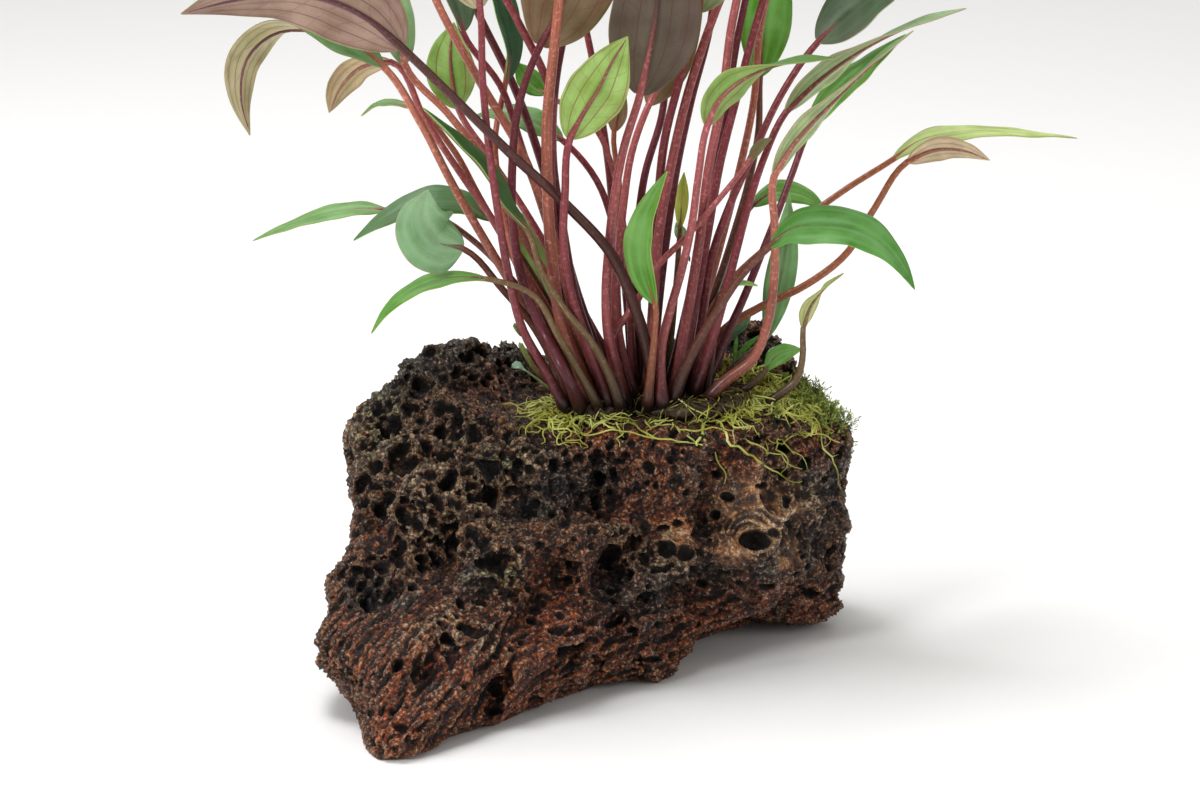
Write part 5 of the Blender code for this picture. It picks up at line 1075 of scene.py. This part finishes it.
# %% Crowns
CROWN_VOXEL = 0.6       # mm
CROWN_LUMPS = 0.8       # mm
CROWN_FIBRES = 500      # per metre: fibres 2 mm wide and 6 mm long
rootstock, tree, shader = new_material("fibrous rootstock", Roughness=0.6)
upright = add(tree, "Mapping", {"Vector": add(tree, "TexCoord", out="Object"), "Scale": (1, 1, 0.35)})
fibre = add(tree, "TexNoise", {"Vector": upright, "Scale": CROWN_FIBRES, "Detail": 5})
feed(shader, Base_Color=add(tree, "ValToRGB", {0: fibre}, stops=[(0.36, "#120a07"), (0.5, "#35231a"),
                                                                 (0.66, "#6b5a38")]),
     Normal=add(tree, "Bump", {"Height": fibre, "Strength": 0.8, "Distance": 0.6 * MM}))
for node in ("crown_left", "crown_right"):
    crown = merged_copy(node, node + "_grown")
    apply_modifier(crown, "REMESH", mode="VOXEL", voxel_size=CROWN_VOXEL * MM)
    apply_modifier(crown, "SMOOTH", factor=0.5, iterations=4)
    spots = rows_of(crown.data.vertices, "co") / MM
    bumps = np.array([noise.noise(Vector(p) * 0.5) + 0.5 * noise.noise(Vector(p) * 1.2) for p in spots])
    spots += rows_of(crown.data.vertex_normals, "vector") * (bumps * CROWN_LUMPS - 0.2)[:, None]
    put_points(crown, spots)
    only(crown)
    bpy.ops.object.shade_smooth()
    crown.data.materials.append(rootstock)
    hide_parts(node)
    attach(crown, "root")
    print(crown.name, triangles(crown), "triangles")

# %% [markdown]
# ## Roots
# Fresh roots are pale lime threads, 0.3 to 0.8 mm thick, that creep over the stone, cross each other and
# arch up. Each one is walked over the final rock: a step forward, a small random turn, and back onto the
# nearest stone at its own height. All threads of a mat are splines of one curve with a round bevel, made a
# mesh at the end. A few long ones are placed point by point.

# %% Root walker
grown_rock = BVHTree.FromObject(rock, bpy.context.evaluated_depsgraph_get())
root_rng = np.random.default_rng(21)


def settle(spot, height):
    """The place at a height over the nearest stone, and the normal there."""
    place, normal, _, _ = grown_rock.find_nearest(Vector(spot * MM))
    place, normal = np.array(place) / MM, np.array(normal)
    return place + normal * height, normal


def creep(start, heading, length, height, wander=0.35, step=1.3, arch=1.2):
    """A thread's points: it starts at a place and creeps over the rock."""
    spot, way, thread = np.array(start, float), unit_vector(np.array(heading, float)), []
    turn = root_rng.normal() * wander
    for k in range(int(length / step)):
        share = k * step / length
        over = height + arch * math.sin(share * math.pi * 2.5 + turn) ** 2 * (1 - share) + 0.15
        place, normal = settle(spot, over)
        thread.append(place)
        turn = 0.75 * turn + root_rng.normal() * wander
        side = np.cross(normal, way)
        way = unit_vector(way - normal * (way @ normal) + side * turn * 0.5 + np.array([0, 0, -0.06]))
        spot = place - normal * over + way * step
    return np.array(thread)


def threads(name, paths, thicks, skin, slot_name, replaced=()):
    """Threads as one curve with a round bevel, made a mesh."""
    curve = bpy.data.curves.new(name, "CURVE")
    curve.dimensions = "3D"
    curve.bevel_depth = 1.0
    curve.bevel_resolution = 1
    curve.use_fill_caps = True
    for path, thick in zip(paths, thicks):
        spline = curve.splines.new("POLY")
        spline.points.add(len(path) - 1)
        rows = np.c_[path * MM, np.ones(len(path))]
        spline.points.foreach_set("co", rows.astype(np.float32).ravel())
        taper = thick / 2 * MM * (1 - 0.55 * np.linspace(0, 1, len(path)) ** 2)
        spline.points.foreach_set("radius", taper.astype(np.float32))
    obj = bpy.data.objects.new(name, curve)
    bpy.context.scene.collection.objects.link(obj)
    only(obj)
    bpy.ops.object.convert(target="MESH")
    obj = bpy.context.active_object
    bpy.ops.object.shade_smooth()
    obj.data.materials.append(skin)
    if replaced:
        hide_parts(*replaced)
    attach(obj, "root")
    print(name, len(paths), "threads", triangles(obj), "triangles")


def smooth_thread(points, step=1.0):
    points = np.array(points, float)
    run = run_along(points)
    return along_curve(points, run, np.linspace(0, run[-1], max(3, int(run[-1] / step))))


print("the threads creep over", len(rock.data.polygons), "faces")

# %% [markdown]
# A fresh root is a pale living thread with a soft, moist skin, and some light passes through it. An old one
# is brown and nearly dry. Both are blotched over a few millimetres.

# %% Root skins
FRESH_BLOTCHES, OLD_BLOTCHES = 110, 190     # per metre: blotches of 9 mm and of 5 mm
fresh_root, tree, shader = new_material("fresh root skin", Roughness=0.45, IOR=1.4, Subsurface_Weight=0.2,
                                        Subsurface_Scale=0.8 * MM)
where = add(tree, "TexCoord", out="Object")
patch = add(tree, "TexNoise", {"Vector": where, "Scale": FRESH_BLOTCHES, "Detail": 4})
feed(shader, Base_Color=add(tree, "ValToRGB", {0: patch}, stops=[(0.3, "#80782e"), (0.45, "#aeb04a"),
                                                                 (0.6, "#ced276"), (0.75, "#e4e4a2")]))
old_root, tree, shader = new_material("old root skin", Roughness=0.55, IOR=1.4)
where = add(tree, "TexCoord", out="Object")
patch = add(tree, "TexNoise", {"Vector": where, "Scale": OLD_BLOTCHES, "Detail": 4})
feed(shader, Base_Color=add(tree, "ValToRGB", {0: patch}, stops=[(0.36, "#1f120a"), (0.48, "#443019"),
                                                                 (0.58, "#6e6430"), (0.72, "#9fa452")]))
print("root skins ready")

# %% [markdown]
# A mat isn't an even carpet. It is made of clumps, each an oval patch whose threads head more or less one
# way.

# %% Root mats


def fan(count, middle, half, ways, length, thick, **walk):
    """Threads that start inside an oval and head one way, with some spread."""
    paths, sizes = [], []
    for _ in range(count):
        angle, far = root_rng.random() * 2 * math.pi, root_rng.random() ** 0.5
        x, y = middle[0] + half[0] * far * math.cos(angle), middle[1] + half[1] * far * math.sin(angle)
        heading = math.radians(ways[0] + (ways[1] - ways[0]) * root_rng.random())
        place, _ = settle(np.array([x, y, CROWN_REF + 2.0]), 0)
        reach = length * (0.5 + root_rng.random())
        way = (math.cos(heading), math.sin(heading), 0)
        thread = creep(place, way, reach, 0.3 + 1.4 * root_rng.random(), **walk)
        paths.append(smooth_thread(thread))
        sizes.append(thick * (0.6 + 0.8 * root_rng.random()))
    return paths, sizes


CLUMPS = {      # threads, middle, half size, headings in degrees, length, thickness and arch in mm
    "roots_left": [
        (70, (-19, -12), (7, 6), (170, 300), 11, 0.42, 1.6),
        (30, (-24, -4), (5, 7), (120, 260), 14, 0.34, 1.2),
        (9, (-9, -17), (7, 2.5), (180, 360), 8, 0.3, 1.2)],
    "roots_right": [
        (120, (26, 6), (8, 12), (0, 360), 13, 0.42, 3.4),
        (60, (20, 14), (7, 9), (0, 360), 10, 0.36, 3.0),
        (34, (18, -11), (7, 4), (200, 350), 11, 0.42, 1.8),
        (36, (36, -2), (7, 7), (250, 380), 12, 0.4, 2.0),
        (6, (3, -18), (7, 2), (200, 340), 7, 0.3, 0.8)],
}
for name, clumps in CLUMPS.items():
    paths, sizes = [], []
    for *clump, arch in clumps:
        more_paths, more_sizes = fan(*clump, arch=arch, wander=0.5)
        paths += more_paths
        sizes += more_sizes
    threads(name, paths, sizes, fresh_root, "roots", (name.replace("roots", "root_mat"),))

# %% [markdown]
# The crowns themselves carry older roots. They are brown and olive, and tangled, and leave the feet of the
# stalks in all directions before they turn down over the edge.

# %% Roots over the crowns


def crown_threads(count, node, thick):
    """Threads that wind between the stalks' feet, run over the crown's edge and creep on over the rock."""
    low, high = (np.array(c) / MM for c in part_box(node))
    middle, half = (low + high) / 2, (high - low) / 2
    paths, sizes = [], []
    for _ in range(count):
        angle, swing = root_rng.random() * 2 * math.pi, root_rng.normal() * 0.5
        rows = []
        for far, lift in ((0.25 + 0.4 * root_rng.random(), 0.4), (0.8, 0.9), (1.0, 0.1), (1.1, -2.4)):
            spot = middle + np.array([half[0] * math.cos(angle), half[1] * math.sin(angle), 0]) * far
            spot[2] = high[2] + lift + 0.5 * root_rng.normal()
            rows.append(spot)
            angle += swing * 0.4
        reach = 3 + 8 * root_rng.random()
        run_on = creep(rows[-1], rows[-1] - rows[-2], reach, 0.2 + 0.8 * root_rng.random(), wander=0.5)
        paths.append(smooth_thread(np.concatenate([rows, run_on]), 0.8))
        sizes.append(thick * (0.5 + 0.8 * root_rng.random()))
    return paths, sizes


for node, old, fresh in (("crown_left", 60, 12), ("crown_right", 90, 16)):
    threads("old_roots_on_" + node, *crown_threads(old, node, 0.4), old_root, "roots")
    threads("fresh_roots_on_" + node, *crown_threads(fresh, node, 0.38), fresh_root, "roots")

# %% [markdown]
# A few long roots stand out from the mats, so their ways are given point by point, where the viewer sees
# them. Each point is laid on the stone behind it, and the thread between them is drawn tight.

# %% Long roots placed point by point
LONG_ROOTS = [      # pixel places along each thread, and its thickness in mm
    (0.55, [(621, 419), (649, 437), (668, 441), (688, 442)]),
    (0.5, [(677, 427), (698, 447), (710, 452)]),
    (0.7, [(691, 422), (719, 424), (729, 443), (752, 455), (776, 473), (803, 481)]),
    (0.5, [(705, 441), (717, 455), (722, 466), (728, 473), (724, 483)]),
    (0.6, [(776, 414), (778, 433), (786, 455), (781, 473)]),
    (0.55, [(793, 414), (815, 431), (840, 443)]),
    (0.45, [(823, 447), (833, 463), (840, 488)]),
    (0.4, [(700, 410), (720, 412), (745, 420), (770, 440), (795, 452)]),
    (1.3, [(699, 408), (703, 429), (698, 448)]),
    (0.5, [(655, 425), (690, 432), (725, 430), (760, 446), (800, 470)]),
    (0.45, [(560, 425), (590, 436), (620, 432), (660, 440), (700, 444)]),
    (0.4, [(800, 405), (818, 425), (822, 446), (838, 455)]),
    (0.5, [(560, 399), (540, 402), (524, 404), (517, 416)]),
    (0.45, [(578, 384), (568, 402), (560, 418)]),
    (0.45, [(575, 408), (556, 412), (548, 424)]),
    (0.4, [(785, 436), (790, 448), (800, 452), (808, 470)]),
]
PIXELS_PER_MM = 4
PHOTO_MIDDLE = (650, 400)


def seen_place(x, y):
    return (x - PHOTO_MIDDLE[0]) / PIXELS_PER_MM, (PHOTO_MIDDLE[1] - y) / PIXELS_PER_MM


def kept_above(points, height):
    """Pushes out the points of a thread that the stone's relief would cover."""
    out = []
    for spot in points:
        place, normal = settle(spot, 0)
        out.append(spot if (spot - place) @ normal > height else place + normal * height)
    return np.array(out)


paths, sizes = [], []
for thick, places in LONG_ROOTS:
    spots = [seen_on(grown_rock, *seen_place(x, y))[0] for x, y in places]
    spots = smooth_thread([s for s in spots if s is not None], 1.2)
    lifted = np.array([settle(s, 0.35 + 0.5 * math.sin(k * 0.7) ** 2)[0] for k, s in enumerate(spots)])
    smooth = smooth_thread(lifted, 0.7)
    for _ in range(6):
        smooth[1:-1] = 0.4 * smooth[1:-1] + 0.3 * (smooth[:-2] + smooth[2:])
        smooth = kept_above(smooth, thick * 0.4)
    paths.append(smooth)
    sizes.append(thick)
threads("roots_long", paths, sizes, fresh_root, "roots")

# %% [markdown]
# ## Small growths
# At the foot of the bunch stand a few stubs of cut stalks and some very young leaves, one or two
# centimetres long. Each could be a small leaf of its own, but at this size a tube with an oval section
# does: wide and flat where it is a blade and round where it is a stalk. Their places are taken as the
# viewer sees them, at the depth of their feet.

# %% Small growths
SPROUTS = [     # pixel places, half widths and half thicknesses in mm, tones at foot and tip, depth in mm
    ([(523, 337), (518, 330), (514, 323)],
     [0.5, 0.75, 0.8], [0.5, 0.6, 0.7], "#7a5a3c", "#6f9a3c", -4.0),
    ([(556, 389), (540, 376), (527, 357), (519, 342)],
     [1.0, 0.8, 0.75, 0.7], [1.0, 0.8, 0.7, 0.6], "#5c2a20", "#7f8a48", None),
    ([(552, 391), (537, 379), (523, 369), (517, 365), (511, 368)],
     [0.4, 0.35, 0.4, 1.1, 0.3], [0.4, 0.3, 0.3, 0.2, 0.1], "#6a7a38", "#8fb093", None),
    ([(566, 390), (545, 389), (524, 390), (509, 391)],
     [1.3, 1.2, 1.1, 0.8], [1.2, 1.1, 1.0, 0.7], "#4a321e", "#6a4c2c", None),
    ([(622, 384), (612, 381), (604, 383), (597, 388)],
     [0.3, 0.4, 1.1, 0.2], [0.3, 0.3, 0.2, 0.1], "#4a5a24", "#4f8a2c", -6.0),
    ([(768, 364), (770, 358), (773, 352), (777, 346)],
     [0.3, 1.3, 1.2, 0.2], [0.3, 0.2, 0.2, 0.1], "#6f9a60", "#9ac8a0", 14.0),
    ([(731, 366), (739, 354), (748, 345), (760, 335)],
     [0.4, 0.6, 0.7, 0.2], [0.3, 0.2, 0.2, 0.1], "#4a6a20", "#4f9a2c", 12.0),
    ([(733, 366), (735, 352), (736, 342), (737, 336)],
     [0.3, 0.5, 0.5, 0.1], [0.3, 0.2, 0.2, 0.1], "#4a6a20", "#4c962a", 11.0),
    ([(719, 372), (723, 350), (731, 333), (740, 323), (751, 317)],
     [0.7, 0.6, 1.6, 2.2, 0.4], [0.7, 0.5, 0.4, 0.3, 0.1], "#4a3020", "#587c5c", 16.0),
    ([(694, 345), (694, 310), (697, 284), (700, 266), (693, 250)],
     [0.5, 0.45, 0.6, 2.2, 0.3], [0.5, 0.4, 0.4, 0.3, 0.1], "#5a4a3a", "#7c9c78", 9.0),
    ([(690, 262), (684, 244), (680, 232), (676, 222)],
     [0.4, 0.7, 1.7, 0.3], [0.3, 0.3, 0.2, 0.1], "#6a6a3c", "#7aaa60", 13.0),
]
SPROUT_STEP = 0.7       # mm between rings
SPROUT_VALLEY = 0.2     # how far the sides of a small blade rise, as a share of its half width


def sprout(places, wide, thick, foot_tone, tip_tone, away):
    """One small growth: an oval tube. Without a depth it takes that of the stone at its foot."""
    right, up = (np.array(c) for c in zip(*(seen_place(x, y) for x, y in places)))
    if away is None:
        foot = seen_on(grown_rock, right[0], up[0])[0]
        away = foot[1] * COS_T - (foot[2] - CROWN_REF) * SIN_T - 1.0
    spots = np.array([to_world(r, u, away) for r, u in zip(right, up)])
    run = run_along(spots)
    at = np.linspace(0, run[-1], max(8, int(run[-1] / SPROUT_STEP)))
    values = along_curve(np.c_[spots, wide, thick], run, at)
    line, half = values[:, :3], np.maximum(values[:, 3:], 0.08)
    half[[0, -1]] = 0.02                                        # both ends close
    front = np.array([0.25, -COS_T, SIN_T + 0.35])              # towards the viewer, and a little up
    foot, tip = (np.array(linear(c)) for c in (foot_tone, tip_tone))
    tone = foot + (tip - foot) * np.clip(at / at[-1] * 1.8 - 0.5, 0, 1)[:, None]
    return rolled_tube(line, tangents(line), np.tile(front, (len(line), 1)), *half.T, tone, SPROUT_VALLEY)


tubes = [sprout(*row) for row in SPROUTS]
only(tubes[0])
for tube in tubes:
    tube.select_set(True)
bpy.ops.object.join()
bpy.ops.object.shade_smooth()
sprouts = bpy.context.active_object
sprouts.name = "young_growths"
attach(sprouts, "root")
print("small growths:", len(SPROUTS), "with", len(sprouts.data.polygons), "faces")

# %% [markdown]
# ## Moss
# A tuft of moss grows on the rock's right shoulder. One leaflet is a narrow pointed sheet with a crease. It
# is repeated thousands of times along short stems, so it has only four faces. Its points are written down
# in code, because no operator sets so many leaflets round their stems.

# %% Moss
MOSS_STEMS = 520
MOSS_LEAFLETS = 9
MOSS_MIDDLE, MOSS_SPREAD = (41, 4), (8, 9)      # mm
STEM_LENGTHS = (1.4, 3.6)                       # mm
LEAFLET_LENGTHS, LEAFLET_HALF = (0.8, 1.5), 0.17        # mm
MOSS_TOP, MOSS_LOWEST = 120, 45                 # mm: where the search for stone starts, and where moss ends
moss_rng = np.random.default_rng(33)
stems, verts, faces, tints = 0, [], [], []
old_tint, young_tint = (np.array(linear(c)) for c in ("#46581c", "#a2b24c"))
while stems < MOSS_STEMS:
    x, y = moss_rng.uniform(30, 54), moss_rng.uniform(-9, 20)
    dense = math.exp(-sum(((p - m) / s) ** 2 for p, m, s in zip((x, y), MOSS_MIDDLE, MOSS_SPREAD)))
    hit, normal, _, _ = grown_rock.ray_cast(Vector((x, y, MOSS_TOP)) * MM, Vector((0, 0, -1)))
    if hit is None or hit.z < MOSS_LOWEST * MM or moss_rng.random() > dense:
        continue
    base, normal = np.array(hit) / MM, np.array(normal)
    way = unit_vector(normal + moss_rng.normal(size=3) * 0.45 + (0, 0, 0.3))
    length = moss_rng.uniform(*STEM_LENGTHS)
    stems += 1
    for k in range(MOSS_LEAFLETS):
        share = (k + 0.6) / MOSS_LEAFLETS
        root = base + way * length * share
        out = unit_vector(np.cross(way, moss_rng.normal(size=3)) + way * (0.5 + share))
        side = unit_vector(np.cross(out, way)) * LEAFLET_HALF
        reach = moss_rng.uniform(*LEAFLET_LENGTHS)
        start = len(verts)
        middle, tip, crease = root + out * reach * 0.45, root + out * reach, root + out * reach * 0.4
        verts += [root, middle + side, tip, middle - side, crease + np.cross(side, out) * 0.5]
        faces += [(start + n, start + (n + 1) % 4, start + 4) for n in range(4)]
        young = moss_rng.random() * 0.6 + share * 0.4
        tints += [old_tint * (1 - young) + young_tint * young] * 5
print("moss leaflets:", len(faces) // 4)

# %% [markdown]
# A leaflet is one cell thick, moist and softly shining. Its tint, from old to young, comes with the mesh.

# %% Moss mesh and material
moss_mesh = bpy.data.meshes.new("moss_tuft")
moss_mesh.from_pydata([tuple(v * MM) for v in verts], [], faces)
paint(moss_mesh, "moss_tint", tints)
tuft = bpy.data.objects.new("moss_tuft", moss_mesh)
bpy.context.scene.collection.objects.link(tuft)
moss_leaf, tree, shader = new_material("moss leaflet", Roughness=0.5)
feed(shader, Base_Color=add(tree, "Attribute", attribute_name="moss_tint"))
moss_mesh.materials.append(moss_leaf)
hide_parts("moss")
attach(tuft, "root")
print("moss:", triangles(tuft), "triangles")
